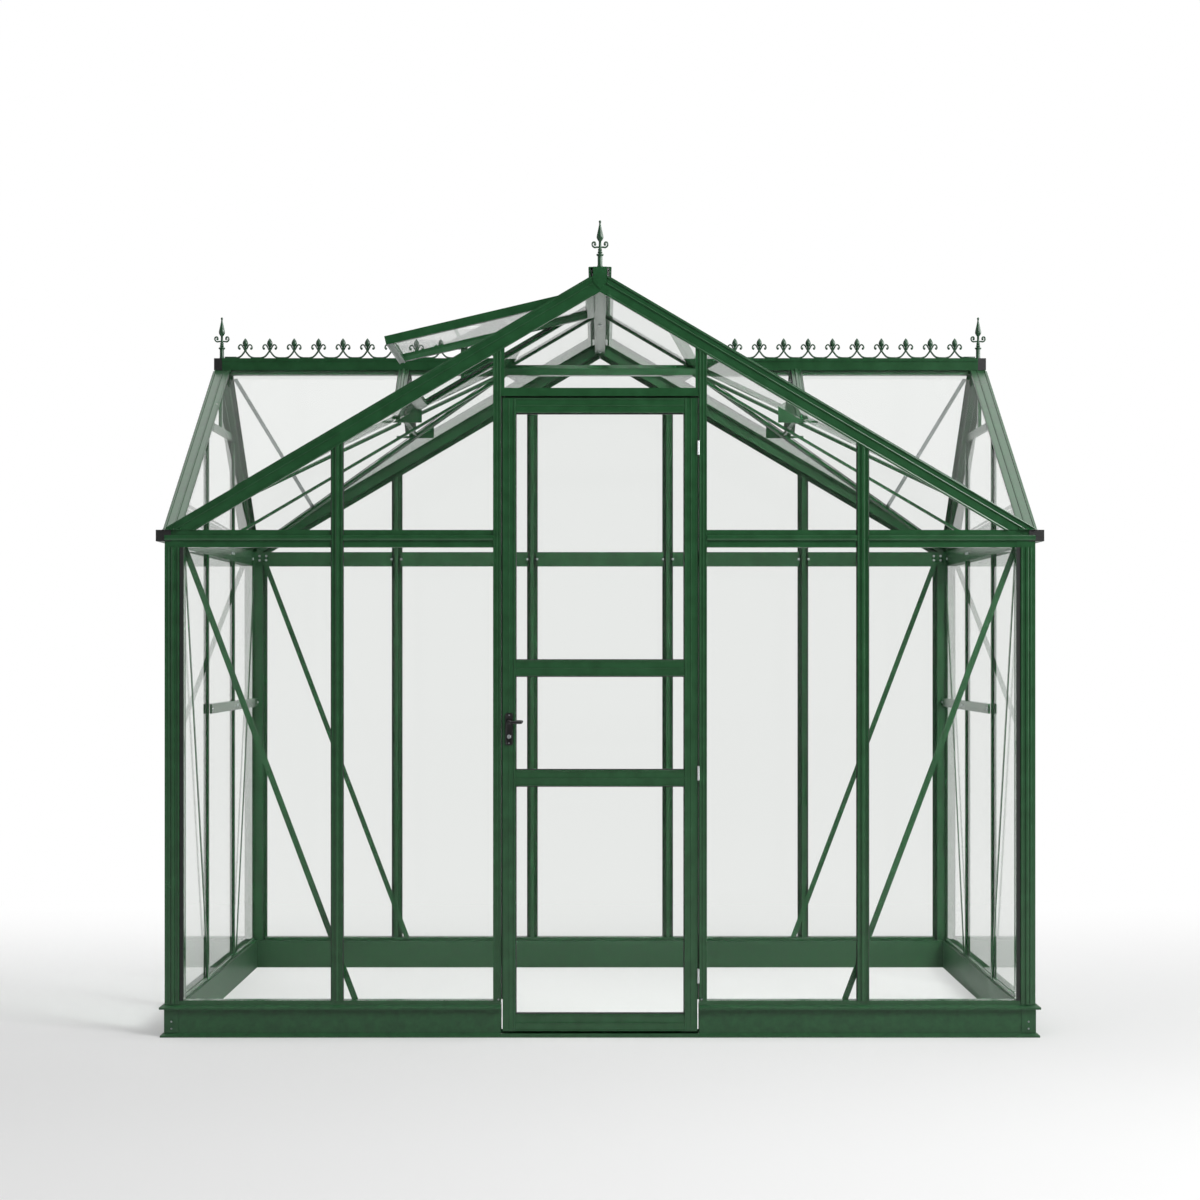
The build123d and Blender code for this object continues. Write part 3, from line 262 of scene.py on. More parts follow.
def bevelled_block(name, low, high, soften, steps=2):
    """A block with all its edges rounded."""
    piece = new_block(name, low, high)
    bpy.ops.object.mode_set(mode="EDIT")
    bpy.ops.mesh.select_all(action="SELECT")
    bpy.ops.mesh.bevel(offset=soften, segments=steps)
    bpy.ops.object.mode_set(mode="OBJECT")
    return piece


def turned(name, centre, profile, sides=20):
    """A round piece raised ring by ring from its foot, from (radius, height) pairs."""
    x, y, foot = centre
    radius, height = profile[0]
    bpy.ops.object.select_all(action="DESELECT")
    bpy.ops.mesh.primitive_circle_add(vertices=sides, radius=radius, fill_type="NGON",
                                      location=(x, y, foot + height))
    bpy.ops.object.transform_apply(location=True, rotation=True, scale=True)
    piece = bpy.context.object
    piece.name = name
    bpy.ops.object.mode_set(mode="EDIT")
    bpy.ops.mesh.select_all(action="SELECT")
    for wider, higher in profile[1:]:
        bpy.ops.mesh.extrude_region_move(TRANSFORM_OT_translate={"value": (0, 0, higher - height)})
        grow = wider / radius
        bpy.ops.transform.resize(value=(grow, grow, 1), center_override=(x, y, foot + higher))
        radius, height = wider, higher
    bpy.ops.mesh.select_all(action="SELECT")
    bpy.ops.mesh.normals_make_consistent(inside=False)
    bpy.ops.object.mode_set(mode="OBJECT")
    return piece


def bent_rod(name, points, radius):
    """A round rod on a smooth line through a few points, closed at its ends."""
    curve = bpy.data.curves.new(name, "CURVE")
    curve.dimensions = "3D"
    curve.bevel_depth = radius
    curve.bevel_resolution = 1
    curve.resolution_u = 5
    curve.use_fill_caps = True
    spline = curve.splines.new("NURBS")
    spline.points.add(len(points) - 1)
    for target, point in zip(spline.points, points):
        target.co = (*point, 1)
    spline.order_u = 3
    spline.use_endpoint_u = True
    rod = bpy.data.objects.new(name, curve)
    bpy.context.scene.collection.objects.link(rod)
    bpy.ops.object.select_all(action="DESELECT")
    rod.select_set(True)
    bpy.context.view_layer.objects.active = rod
    bpy.ops.object.convert(target="MESH")
    return bpy.context.object


def place(piece, origin, along, out):
    """Sets a piece modelled along X and facing Z at a point, along one direction and facing another."""
    along = Vector(along).normalized()
    out = Vector(out).normalized()
    turn = Matrix((along, out.cross(along), out)).transposed().to_4x4()
    piece.data.transform(Matrix.Translation(origin) @ turn)
    return piece


def trim(piece, cuts):
    """Cuts away what lies beyond each plane, given as a point and an outward direction."""
    bpy.ops.object.select_all(action="DESELECT")
    piece.select_set(True)
    bpy.context.view_layer.objects.active = piece
    bpy.ops.object.mode_set(mode="EDIT")
    for point, outward in cuts:
        bpy.ops.mesh.select_all(action="SELECT")
        bpy.ops.mesh.bisect(plane_co=point, plane_no=outward, use_fill=True, clear_outer=True)
    bpy.ops.object.mode_set(mode="OBJECT")
    return piece


def copied(piece, change):
    """A copy with its own mesh, moved or mirrored by a matrix."""
    other = piece.copy()
    other.data = piece.data.copy()
    bpy.context.scene.collection.objects.link(other)
    other.data.transform(change)
    if change.determinant() < 0:
        other.data.flip_normals()
    return other


LEFT_RIGHT = Matrix.Scale(-1, 4, (1, 0, 0))
FRONT_BACK = Matrix.Scale(-1, 4, (0, 1, 0))


def mirrored(pieces, *changes):
    """The pieces with their mirror images, one change after the other."""
    whole = list(pieces)
    for change in changes:
        whole += [copied(piece, change) for piece in whole]
    return whole


def gather(name, pieces, material, body="frame", smooth=35):
    """Makes like pieces one, with a finish, on a body."""
    bpy.ops.object.select_all(action="DESELECT")
    for piece in pieces:
        piece.select_set(True)
    bpy.context.view_layer.objects.active = pieces[0]
    if len(pieces) > 1:
        bpy.ops.object.join()
    whole = bpy.context.object
    whole.name = name
    whole.data.name = name
    whole.data.materials.clear()
    whole.data.materials.append(material)
    bpy.ops.object.shade_smooth_by_angle(angle=math.radians(smooth))
    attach(whole, body)
    return whole


# Ribs and glazing rubber of the bars, and a black sheet of painted shade in the front corner posts' groove

RUBBER_WIDTH = 0.0035
WALL_RIBS = [(-BAR_HALF, -0.0155, 0.0040), (-0.0070, 0.0070, 0.0070), (0.0155, BAR_HALF, 0.0040)]
main_run = Vector((1, 0, -MAIN_SLOPE)).normalized()
main_up = Vector((MAIN_SLOPE, 0, 1)).normalized()
side_up = Vector((0, -SIDE_SLOPE, 1)).normalized()


def under_main_roof(x, drop):
    """A cut below the right-hand main slope, as deep under it as given."""
    height = RIDGE_APEX - MAIN_SLOPE * x - drop / main_up.z
    return (x, 0, height), main_up


def bar_dressing(name, origin, along, out, length, cuts=(), half=BAR_HALF, ribs=WALL_RIBS, rubber=True):
    """The ribbed face of one bar, and the rubber along both its sides against the glass."""
    face = trim(place(ribbed_strip(name, length, half, ribs), origin, along, out), cuts)
    seals = []
    if rubber:
        for side in (-1, 1):
            y0, y1 = sorted((side * half, side * (half + RUBBER_WIDTH)))
            seal = new_block(name, (0, y0, -GLASS_DEPTH), (length, y1, -STRIP))
            pick(seal, "edges", lambda c, d: abs(d.x) > 0.9 and c.z > -0.002)
            bpy.ops.mesh.bevel(offset=STRIP, segments=2)
            bpy.ops.object.mode_set(mode="OBJECT")
            seals.append(trim(place(seal, origin, along, out), cuts))
    return face, seals


def wall_bars():
    """Ribs and rubber of the upright bars of the four walls, and a thin black sheet of painted shade in the
    groove at the inner edge of each front corner post.
    """
    faces, seals = [], []

    def dress(copies, *what, **how):
        face, rubber = bar_dressing(*what, **how)
        faces.extend(mirrored([face], *copies))
        seals.extend(mirrored(rubber, *copies))

    up = (0, 0, 1)
    tall = RIDGE_APEX - SILL_TOP
    high = EAVE_BOTTOM - WALL_FOOT
    dress((LEFT_RIGHT,), "front_post", (FRONT_POST_X, -HALF_DEPTH, SILL_TOP), up, (0, -1, 0), tall,
          cuts=[under_main_roof(FRONT_POST_X, RAFTER_FACE)])
    for x in BACK_POSTS:
        dress((LEFT_RIGHT,), "back_post", (x, HALF_DEPTH, SILL_TOP), up, (0, 1, 0), tall,
              cuts=[under_main_roof(x, RAFTER_FACE)])
    dress((LEFT_RIGHT, FRONT_BACK), "side_post", (SIDE_FACE, SIDE_POST_Y, SILL_TOP), up, (1, 0, 0),
          EAVE_BOTTOM - SILL_TOP)
    dress((LEFT_RIGHT, FRONT_BACK), "gable_post", (SIDE_FACE, SIDE_POST_Y, EAVE_TOP), up, (1, 0, 0), 0.412)
    dress((LEFT_RIGHT,), "door_post", (DOOR_POST_X, -HALF_DEPTH, SILL_TOP), up, (0, -1, 0), tall, half=0.0145,
          ribs=[(-0.0145, -0.0100, 0.0025), (-0.003, 0.002, 0.0025), (0.0085, 0.0145, 0.0035)], rubber=False,
          cuts=[under_main_roof(DOOR_POST_X, RAFTER_FACE)])
    dress((LEFT_RIGHT,), "front_corner_post", (1.573, -HALF_DEPTH, WALL_FOOT), up, (0, -1, 0), high, half=0.027,
          ribs=[(-0.014, -0.006, 0.003), (-0.003, 0.010, 0.006), (0.021, 0.027, 0.005)], rubber=False)
    # A thin black sheet on each front corner post's face at its inner edge: painted shade where the groove
    # there looks dark, not a real part.
    groove_shade_strip = bevelled_block("corner_painted_shade", (1.5305, -HALF_DEPTH - 0.0010, SILL_TOP),
                            (1.5450, -HALF_DEPTH, EAVE_BOTTOM), 0.0003, 1)
    seals.extend(mirrored([groove_shade_strip], LEFT_RIGHT))
    dress((LEFT_RIGHT,), "back_corner_post", (1.5315, HALF_DEPTH, WALL_FOOT), up, (0, 1, 0), high, half=0.0305,
          ribs=[(-0.0305, -0.0255, 0.004), (-0.004, 0.004, 0.004), (0.0255, 0.0305, 0.004)], rubber=False)
    return faces, seals


def roof_bars():
    """Ribs and rubber of the edge bars and of the bars inside the roofs."""
    faces = []
    foot = ((0, 0, EAVE_TOP + 0.0005), (0, 0, -1))
    beside_cap = ((CAP_HALF + 0.001, 0, 0), (-1, 0, 0))
    beside_side_cap = ((0, -CAP_HALF - 0.001, 0), (0, 1, 0))
    slope_length = 1.95
    side_length = 1.22

    # Gable faces and roof faces of the main roof's edge bars
    apex = Vector((0, -HALF_DEPTH, RIDGE_APEX))
    gable = ribbed_strip("rafter_face", slope_length, RAFTER_FACE / 2,
                         [(0.0265, 0.0315, 0.005), (0.0060, 0.0110, 0.005), (-0.0315, -0.0235, 0.0055)])
    place(gable, apex - main_up * RAFTER_FACE / 2, main_run, (0, -1, 0))
    faces.append(trim(gable, [((0.0262, 0, 0), (-1, 0, 0)), foot]))
    top = ribbed_strip("rafter_top", slope_length, RAFTER_LEG / 2,
                       [(-0.031, -0.026, 0.003), (-0.005, 0.001, 0.004), (0.026, 0.031, 0.003)])
    place(top, apex + Vector((0, RAFTER_LEG / 2, 0)), main_run, main_up)
    faces.append(trim(top, [beside_cap, foot, ((VALLEY_START, 0, 0), (1, VALLEY_RUN, 0))]))

    # The same for the side gables
    lean = SIDE_TOP_FACE - HALF_WIDTH
    run = Vector((-lean, -HALF_DEPTH, ROOF_FOOT - SIDE_APEX)).normalized()
    outward = Vector((HALF_DEPTH, -lean, 0)).normalized()
    side_apex = Vector((SIDE_TOP_FACE, 0, SIDE_APEX))
    gable = ribbed_strip("side_rafter_face", side_length, RAFTER_FACE / 2,
                         [(-0.0315, -0.0265, 0.005), (-0.011, -0.006, 0.005), (0.024, 0.0315, 0.0055)])
    place(gable, side_apex + outward.cross(run) * RAFTER_FACE / 2, run, outward)
    faces.append(trim(gable, [beside_side_cap, foot]))
    top = ribbed_strip("side_rafter_top", side_length, RAFTER_LEG / 2,
                       [(-0.031, -0.026, 0.003), (-0.006, -0.001, 0.004), (0.025, 0.031, 0.004)])
    place(top, side_apex - side_up.cross(run) * RAFTER_LEG / 2, run, side_up)
    faces.append(trim(top, [beside_side_cap, foot, ((VALLEY_START, 0, 0), (-1, -VALLEY_RUN, 0))]))

    # Bars inside the slopes
    middle, middle_seals = bar_dressing("roof_bar", (0, 0, RIDGE_APEX), main_run, main_up, 0.6,
                                        cuts=[beside_cap, ((0.336, 0, 0), (1, 0, 0))])
    jack, jack_seals = bar_dressing("jack_rafter", (JACK_X, 0, SIDE_APEX), (0, -1, -SIDE_SLOPE), side_up, 0.6,
                                    cuts=[beside_side_cap, ((0, -JACK_END, 0), (0, -1, 0)),
                                          (apex + main_up * 0.0008, -main_up)])
    above_valley = ((VALLEY_START - 0.007, 0, 0), (1, VALLEY_RUN, 0))
    beside_vent, vent_seals = bar_dressing("vent_bar", (0, -SIDE_POST_Y, RIDGE_APEX), main_run, main_up, 1.0,
                                           cuts=[beside_cap, above_valley])
    for piece in [beside_vent] + vent_seals:
        piece.data.transform(LEFT_RIGHT)
        piece.data.flip_normals()
    faces = mirrored(faces + [jack], LEFT_RIGHT, FRONT_BACK) + mirrored([middle], LEFT_RIGHT)
    seals = mirrored(jack_seals, LEFT_RIGHT, FRONT_BACK) + mirrored(middle_seals, LEFT_RIGHT)
    return faces + [beside_vent], seals + vent_seals


def eave_bands():
    """The rounded middle band of the front and back eaves, between the posts."""
    made = []
    front = [(0.3935, 0.9450), (0.9870, 1.6000)]
    back = [(-0.2845, 0.2845), (0.3255, 0.8945), (0.9355, 1.6000)]
    for spans, end in ((front, -1), (back, 1)):
        for x0, x1 in spans:
            band = ribbed_strip("eave_band", x1 - x0, 0.0105, [(-0.0105, 0.0105, 0.005)])
            place(band, (x0, end * HALF_DEPTH, 1.835), (1, 0, 0), (0, end, 0))
            made += [band] if x0 < 0 else mirrored([band], LEFT_RIGHT)
    return made


gather("eave_bands", eave_bands(), powder_coat)
wall_faces, wall_seals_and_shade_strip = wall_bars()
roof_faces, roof_seals = roof_bars()
gather("wall_bar_ribs", wall_faces, powder_coat)
gather("roof_bar_ribs", roof_faces, powder_coat)
gather("glazing_rubber_and_shade_strip", wall_seals_and_shade_strip + roof_seals, glazing_rubber_and_shade_strip)


# Door leaf

LEAF_HALF = 0.358
LEAF_FRONT = -0.967
LEAF_BACK = -0.937
LEAF_BOTTOM = 0.022
LEAF_TOP = 2.348
STILE = 0.048
RAIL_BANDS = [(0.022, 0.085), (0.9225, 0.9815), (1.3265, 1.3855), (2.293, 2.348)]
STOP_MARGIN = 0.012


def leaf_ribs():
    """Ribs on the stiles and rails of the leaf, on both faces."""
    ribs = []
    up = (0, 0, 1)
    high = LEAF_TOP - LEAF_BOTTOM
    stile = ribbed_strip("stile_front", high, STILE / 2,
                         [(-0.024, -0.0190, 0.0025), (-0.003, 0.002, 0.0025), (0.0165, 0.024, 0.003)])
    place(stile, (LEAF_HALF - STILE / 2, LEAF_FRONT, LEAF_BOTTOM), up, (0, -1, 0))
    inner = ribbed_strip("stile_back", high - 0.05, (STILE - STOP_MARGIN) / 2,
                         [(-0.018, -0.010, 0.003), (0.012, 0.018, 0.001)])
    middle = LEAF_HALF - STOP_MARGIN - (STILE - STOP_MARGIN) / 2
    place(inner, (middle, LEAF_BACK, LEAF_BOTTOM + 0.025), up, (0, 1, 0))
    ribs += mirrored([stile, inner], LEFT_RIGHT)
    reach = LEAF_HALF - STILE - 0.0005
    for low, high in RAIL_BANDS:
        half = (high - low) / 2
        for y, out in ((LEAF_FRONT, -1), (LEAF_BACK, 1)):
            band = ribbed_strip("rail_face", 2 * reach, half - 0.0002,
                                [(-half + 0.0002, -half + 0.006, 0.003), (-0.0025, 0.0025, 0.002),
                                 (half - 0.006, half - 0.0002, 0.003)])
            ribs.append(place(band, (-reach, y, (low + high) / 2), (1, 0, 0), (0, out, 0)))
    return ribs


def leaf_seals():
    """Black rubber round the three panes of the leaf, on both faces."""
    seals = []
    inner = LEAF_HALF - STILE
    for y0, y1 in ((LEAF_FRONT + 0.003, LEAF_FRONT + 0.0128), (LEAF_BACK - 0.0128, LEAF_BACK - 0.003)):
        for (_, low), (high, _) in zip(RAIL_BANDS[:-1], RAIL_BANDS[1:]):
            sides = [bevelled_block("pane_seal", (inner - 0.003, y0, low), (inner, y1, high), 0.001, 1)]
            seals += mirrored(sides, LEFT_RIGHT)
            for z0 in (low, high - 0.003):
                seals.append(bevelled_block("pane_seal", (-inner + 0.003, y0, z0),
                                            (inner - 0.003, y1, z0 + 0.003), 0.001, 1))
    return seals


gather("leaf_ribs", leaf_ribs(), powder_coat, "door")
gather("leaf_rubber", leaf_seals(), glazing_rubber_and_shade_strip, "door")


# Door furniture

HANDLE_X = -0.334
SPINDLE_Z = 1.157
PLATE_FRONT = LEAF_FRONT - 0.008
PLATE_BACK = LEAF_BACK + 0.008
LEVER_NECK = [(0.0090, 0.0003), (0.0090, 0.003), (0.0072, 0.006), (0.0068, 0.015), (0.0080, 0.021),
              (0.0082, 0.0275), (0.0060, 0.0290)]
LOCK_BARREL = [(0.0075, 0.0), (0.0075, 0.0035), (0.0068, 0.0042), (0.0030, 0.0042), (0.0028, 0.0030)]
SCREW_HEAD = [(1, 0.25), (0.82, 0.55), (0.45, 0.68), (0.38, 0.68), (0.30, 0.35)]


def lever_handles():
    """Two rounded levers on one spindle, each with a turned neck."""
    made = []
    spindle = bevelled_block("spindle", (HANDLE_X - 0.0026, PLATE_FRONT - 0.004, SPINDLE_Z - 0.0026),
                             (HANDLE_X + 0.0026, PLATE_BACK + 0.004, SPINDLE_Z + 0.0026), 0.0005, 1)
    made.append(spindle)
    for face, out in ((PLATE_FRONT, -1), (PLATE_BACK, 1)):
        neck = turned("lever_neck", (0, 0, 0), LEVER_NECK)
        made.append(place(neck, (HANDLE_X, face, SPINDLE_Z), (1, 0, 0), (0, out, 0)))
        y0, y1 = sorted((face + out * 0.018, face + out * 0.029))
        grip = new_block("lever_grip", (HANDLE_X - 0.0065, y0, SPINDLE_Z - 0.0065),
                         (HANDLE_X + 0.0495, y1, SPINDLE_Z + 0.0065))
        pick(grip, "faces", lambda c, n: n.x > 0.9)
        bpy.ops.transform.resize(value=(1, 0.8, 0.82), center_override=(HANDLE_X, (y0 + y1) / 2, SPINDLE_Z))
        bpy.ops.mesh.select_all(action="SELECT")
        bpy.ops.mesh.bevel(offset=0.0042, segments=4)
        bpy.ops.object.mode_set(mode="OBJECT")
        made.append(grip)
    return made


def plate_details():
    """The raised rim, the lock barrel and the two screws of each handle plate."""
    rims, barrels, screws = [], [], []
    for face, out in ((PLATE_FRONT, -1), (PLATE_BACK, 1)):
        rim = new_block("plate_rim", (HANDLE_X - 0.0115, 0, 1.077), (HANDLE_X + 0.0115, 0.0015, 1.187))
        pick(rim, "faces", lambda c, n: n.y > 0.9)
        bpy.ops.mesh.inset(thickness=0.0025, depth=-0.001)
        pick(rim, "edges", lambda c, d: abs(d.y) > 0.9 and abs(c.x - HANDLE_X) > 0.0114)
        bpy.ops.mesh.bevel(offset=0.005, segments=3)
        bpy.ops.object.mode_set(mode="OBJECT")
        if out < 0:
            rim.data.transform(FRONT_BACK)
            rim.data.flip_normals()
        rim.data.transform(Matrix.Translation((0, face, 0)))
        rims.append(rim)
        barrel = turned("lock_barrel", (0, 0, 0), LOCK_BARREL, 16)
        barrels.append(place(barrel, (HANDLE_X, face, 1.104), (1, 0, 0), (0, out, 0)))
        for z in (1.0805, 1.1835):
            screws.append(set_screw((HANDLE_X, face + out * 0.0008, z), (0, out, 0), 0.0026))
    return rims, barrels, screws


def set_screw(point, out, radius=0.0045):
    """A domed screw head with a recess, facing outwards from a point."""
    rings = [(radius, -0.0004)] + [(wide * radius, high * radius) for wide, high in SCREW_HEAD]
    head = turned("screw_head", (0, 0, 0), rings, 12)
    along = (0, 0, 1) if abs(out[2]) < 0.5 else (1, 0, 0)
    return place(head, point, along, out)


levers = gather("lever_handles", lever_handles(), black_paint, "lever")
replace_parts(levers, "door_levers")
plate_rims, lock_barrels, plate_screws = plate_details()
gather("handle_plate_rims", plate_rims, black_paint, "door")
gather("lock_barrels", lock_barrels + plate_screws, zinc_plate, "door")


# Screws and bolts of the frame

BOLT = 0.0055
SCREW = 0.0035
BOLT_Z = 1.832
BAR_DEPTH = 0.046
inner_y = HALF_DEPTH - BAR_DEPTH
RAIL_INNER = SIDE_FACE - 0.016 - 0.003 - 0.008 - 0.0004


def frame_screws():
    """Zinc-plated screws outside, and the bolts of the joints inside."""
    heads = []
    heads += mirrored([set_screw((0.373, -HALF_DEPTH - 0.0012, 0.1385), (0, -1, 0), SCREW)], LEFT_RIGHT)
    for z in (0.031, 0.057):
        front = set_screw((1.575, -HALF_DEPTH - 0.002, z), (0, -1, 0), SCREW)
        side = set_screw((HALF_WIDTH + 0.002, -0.940, z), (1, 0, 0), SCREW)
        heads += mirrored([front, side], LEFT_RIGHT, FRONT_BACK)
    inside = []
    for x in (1.500, 1.530):
        for z in (1.827, 1.846):
            inside.append(set_screw((x, inner_y, z), (0, -1, 0), BOLT))
    for x in reversed(BACK_POSTS):
        for shift in (-0.022, 0.022):
            inside.append(set_screw((x + shift, inner_y, BOLT_Z), (0, -1, 0), BOLT))
    heads += mirrored(inside, LEFT_RIGHT)
    front_inside = [set_screw((x, -inner_y, BOLT_Z), (0, 1, 0), BOLT) for x in (0.944, 0.988, 0.410, 1.515)]
    heads += mirrored(front_inside, LEFT_RIGHT)
    sides = []
    for y in (0.300, 0.343, 0.880):
        sides.append(set_screw((HALF_WIDTH - BAR_DEPTH, y, BOLT_Z), (-1, 0, 0), BOLT))
    heads += mirrored(sides, LEFT_RIGHT, FRONT_BACK)
    ends = [set_screw((RAIL_INNER, y, 1.190), (-1, 0, 0)) for y in (-0.312, -0.296, 0.322, 0.895)]
    heads += mirrored(ends, LEFT_RIGHT)
    for y in (0.0, 0.860):
        heads.append(set_screw((0, y, RIDGE_FOOT - STRIP), (0, 0, -1), 0.006))
    return heads


gather("frame_screws", frame_screws(), zinc_plate)


# Finials and cresting

RIDGE_CAP_TOP = RIDGE_APEX + 0.019
SIDE_CAP_TOP = SIDE_APEX + 0.023
FINIAL_PROFILE = [
    (0.0105, 0.000), (0.0105, 0.004), (0.0088, 0.007), (0.0088, 0.040), (0.0128, 0.0425), (0.0134, 0.045),
    (0.0128, 0.0475), (0.0060, 0.050), (0.0086, 0.053), (0.0086, 0.056), (0.0055, 0.059), (0.0076, 0.062),
    (0.0076, 0.065), (0.0050, 0.068), (0.0046, 0.094), (0.0080, 0.098), (0.0122, 0.106), (0.0126, 0.111),
    (0.0105, 0.122), (0.0070, 0.138), (0.0035, 0.156), (0.0030, 0.162), (0.0045, 0.1645), (0.0048, 0.1675),
    (0.0036, 0.1705), (0.0008, 0.172),
]
SCROLL = [(0.0030, 0.072), (0.0100, 0.074), (0.0200, 0.071), (0.0285, 0.078), (0.0285, 0.089), (0.0215, 0.0930),
          (0.0155, 0.088), (0.0170, 0.081)]
BULB = [(0.0010, -0.0050), (0.0036, -0.0038), (0.0050, 0.0), (0.0036, 0.0038), (0.0010, 0.0050)]


def curl(name, line, radius, bulb):
    """A thick arm that curls to a bulb, and its mirror image."""
    arm = bent_rod(name, [(a, 0, z) for a, z in line], radius)
    return mirrored([arm, turned(name, (bulb[0], 0, bulb[1]), BULB, 10)], LEFT_RIGHT)


def finial(x, y, foot):
    """A turned spire with a bud and two arms that curl in."""
    arms = curl("finial_arm", SCROLL, 0.0034, (0.0180, 0.083))
    for each in arms:
        each.data.transform(Matrix.Translation((x, y, foot)))
    return [turned("finial_spire", (x, y, foot), FINIAL_PROFILE)] + arms


FINIAL_PLACES = [(0, -HALF_DEPTH + 0.008, RIDGE_CAP_TOP), (0, HALF_DEPTH - 0.008, RIDGE_CAP_TOP),
                 (-1.548, 0, SIDE_CAP_TOP), (1.548, 0, SIDE_CAP_TOP)]
spires = [part for where in FINIAL_PLACES for part in finial(*where)]
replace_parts(gather("turned_finials", spires, cast_paint, smooth=50), "finials")

CRESTING_START = 0.452
CRESTING_PITCH = 0.100
LILIES = 11
SWAG_TOP = 0.036
LILY_PROFILE = [(0.0044, 0.030), (0.0044, 0.050), (0.0070, 0.0535), (0.0106, 0.060), (0.0115, 0.066),
                (0.0095, 0.073), (0.0055, 0.080), (0.0010, 0.086)]
LILY_ARM = [(0.002, 0.036), (0.008, 0.048), (0.014, 0.0595), (0.022, 0.0605), (0.0285, 0.052), (0.0270, 0.042),
            (0.0225, 0.044)]


def lily(x):
    """A pointed bud on a stem, with two leaves that curl outwards to bulbs."""
    leaves = curl("lily_leaf", LILY_ARM, 0.0032, (0.0240, 0.0440))
    for each in leaves:
        each.data.transform(Matrix.Translation((x, 0, SIDE_CAP_TOP)))
    return [turned("lily_bud", (x, 0, SIDE_CAP_TOP), LILY_PROFILE, 12)] + leaves


def swag(x, first, last):
    """A hanging arc between two lilies on a short thick foot."""
    half = CRESTING_PITCH / 2
    arc = [(0.0, 0.0055), (0.018, 0.0055), (0.036, 0.014), (half, SWAG_TOP)]
    sides = ([] if first else [-1]) + ([] if last else [1])
    made = [bent_rod("swag", [(side * a, 0, z) for a, z in arc], 0.0038) for side in sides]
    foot = bevelled_block("swag_foot", (-0.0150, -0.0058, 0), (0.0150, 0.0058, 0.009), 0.0022)
    made.append(foot)
    for each in made:
        each.data.transform(Matrix.Translation((x, 0, SIDE_CAP_TOP)))
    return made


def cresting():
    """The right-hand cresting: evenly spaced lilies joined by swags, with a block at the outer end."""
    made = []
    for i in range(LILIES):
        made += lily(CRESTING_START + i * CRESTING_PITCH)
    for i in range(LILIES + 1):
        made += swag(CRESTING_START + (i - 0.5) * CRESTING_PITCH, i == 0, i == LILIES)
    made.append(bevelled_block("crest_stub", (1.487, -0.006, SIDE_CAP_TOP),
                               (1.536, 0.006, SIDE_CAP_TOP + 0.011), 0.002))
    return made


right = gather("right_lily_cresting", cresting(), cast_paint, smooth=50)
left = copied(right, LEFT_RIGHT)
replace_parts(right, "right_cresting")
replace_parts(gather("left_lily_cresting", [left], cast_paint, smooth=50), "left_cresting")


# Roof: ribs and rolled edges of the main ridge, thin braces, the lip of the vent

VENT_ANGLE = math.radians(13.2)
VENT_HEAD = 0.062
VENT_HEAD_DROP = 0.018
VENT_LENGTH = 0.750
VENT_DEPTH = 0.032
VENT_RAIL = 0.026
LIP_START = -0.8985
LIP_LENGTH = 0.552
BRACE_HEAD = (1.500, 0.045, 2.536)
BRACE_FOOT = (1.262, 0.700, 2.050)


def ridge_nosings():
    """The rolled edges along the main ridge cap."""
    made = ribbed_strip("ridge_nosing", 2 * HALF_DEPTH - 0.001, 0.0195,
                        [(0.0105, 0.0195, 0.003), (-0.0195, -0.0145, 0.002)])
    place(made, (CAP_HALF, -HALF_DEPTH + 0.0005, RIDGE_APEX - 0.0008), (0, 1, 0), (1, 0, 0))
    return mirrored([made], LEFT_RIGHT)


def roof_braces():
    """Thin flat braces under the cross roof's back slope, from the side gable down to its edge bar."""
    start = Vector(BRACE_HEAD)
    run = Vector(BRACE_FOOT) - start
    along = run.normalized()
    back_up = Vector((0, SIDE_SLOPE, 1)).normalized()
    strap = ribbed_strip("roof_brace", run.length, 0.009, [(-0.002, 0.002, 0.0012)])
    place(strap, start, along, back_up - along * back_up.dot(along))
    return mirrored([strap], LEFT_RIGHT)


def under_ridge():
    """Ribs along the underside of the main ridge."""
    length = 2 * (HALF_DEPTH - RAFTER_LEG) - 0.001
    strip = ribbed_strip("under_ridge", length, 0.0225, [(-0.0225, -0.0165, 0.004), (0.0165, 0.0225, 0.004)])
    return [place(strip, (0, -length / 2, RIDGE_FOOT), (0, 1, 0), (0, 0, -1))]


def vent_lip():
    """A pale mill-aluminium lip under the foot rail of the vent: a painted reflection for the pale sheen on the
    underside of the green sill.
    """
    down = (VENT_LENGTH - VENT_RAIL) * math.cos(VENT_ANGLE)
    head = RIDGE_APEX - MAIN_SLOPE * VENT_HEAD - VENT_HEAD_DROP - VENT_DEPTH / math.cos(VENT_ANGLE)
    foot = Vector((-VENT_HEAD - down, LIP_START, head - down * math.tan(VENT_ANGLE)))
    middle = foot - Vector((1, 0, math.tan(VENT_ANGLE))) * VENT_RAIL / 2
    out = Vector((math.sin(VENT_ANGLE), 0, -math.cos(VENT_ANGLE)))
    strip = ribbed_strip("vent_lip", LIP_LENGTH, 0.0115, [(-0.0115, -0.0070, 0.003), (0.0070, 0.0115, 0.003)])
    return [place(strip, middle, (0, 1, 0), out)]


gather("under_ridge_ribs", under_ridge(), powder_coat)
# The vent lip's pale metal is a painted reflection: it stands for light caught on the underside of the green
# vent sill.
gather("vent_lip", vent_lip(), mill_aluminium)
gather("ridge_nosings", ridge_nosings(), powder_coat)
gather("roof_braces", roof_braces(), mill_aluminium)


# Floor, light and camera

CAMERA_PLACE = (0, -9.425, 1.415)
FOCAL_MM = 69.06
HORIZON_SHIFT = 52 / 1200


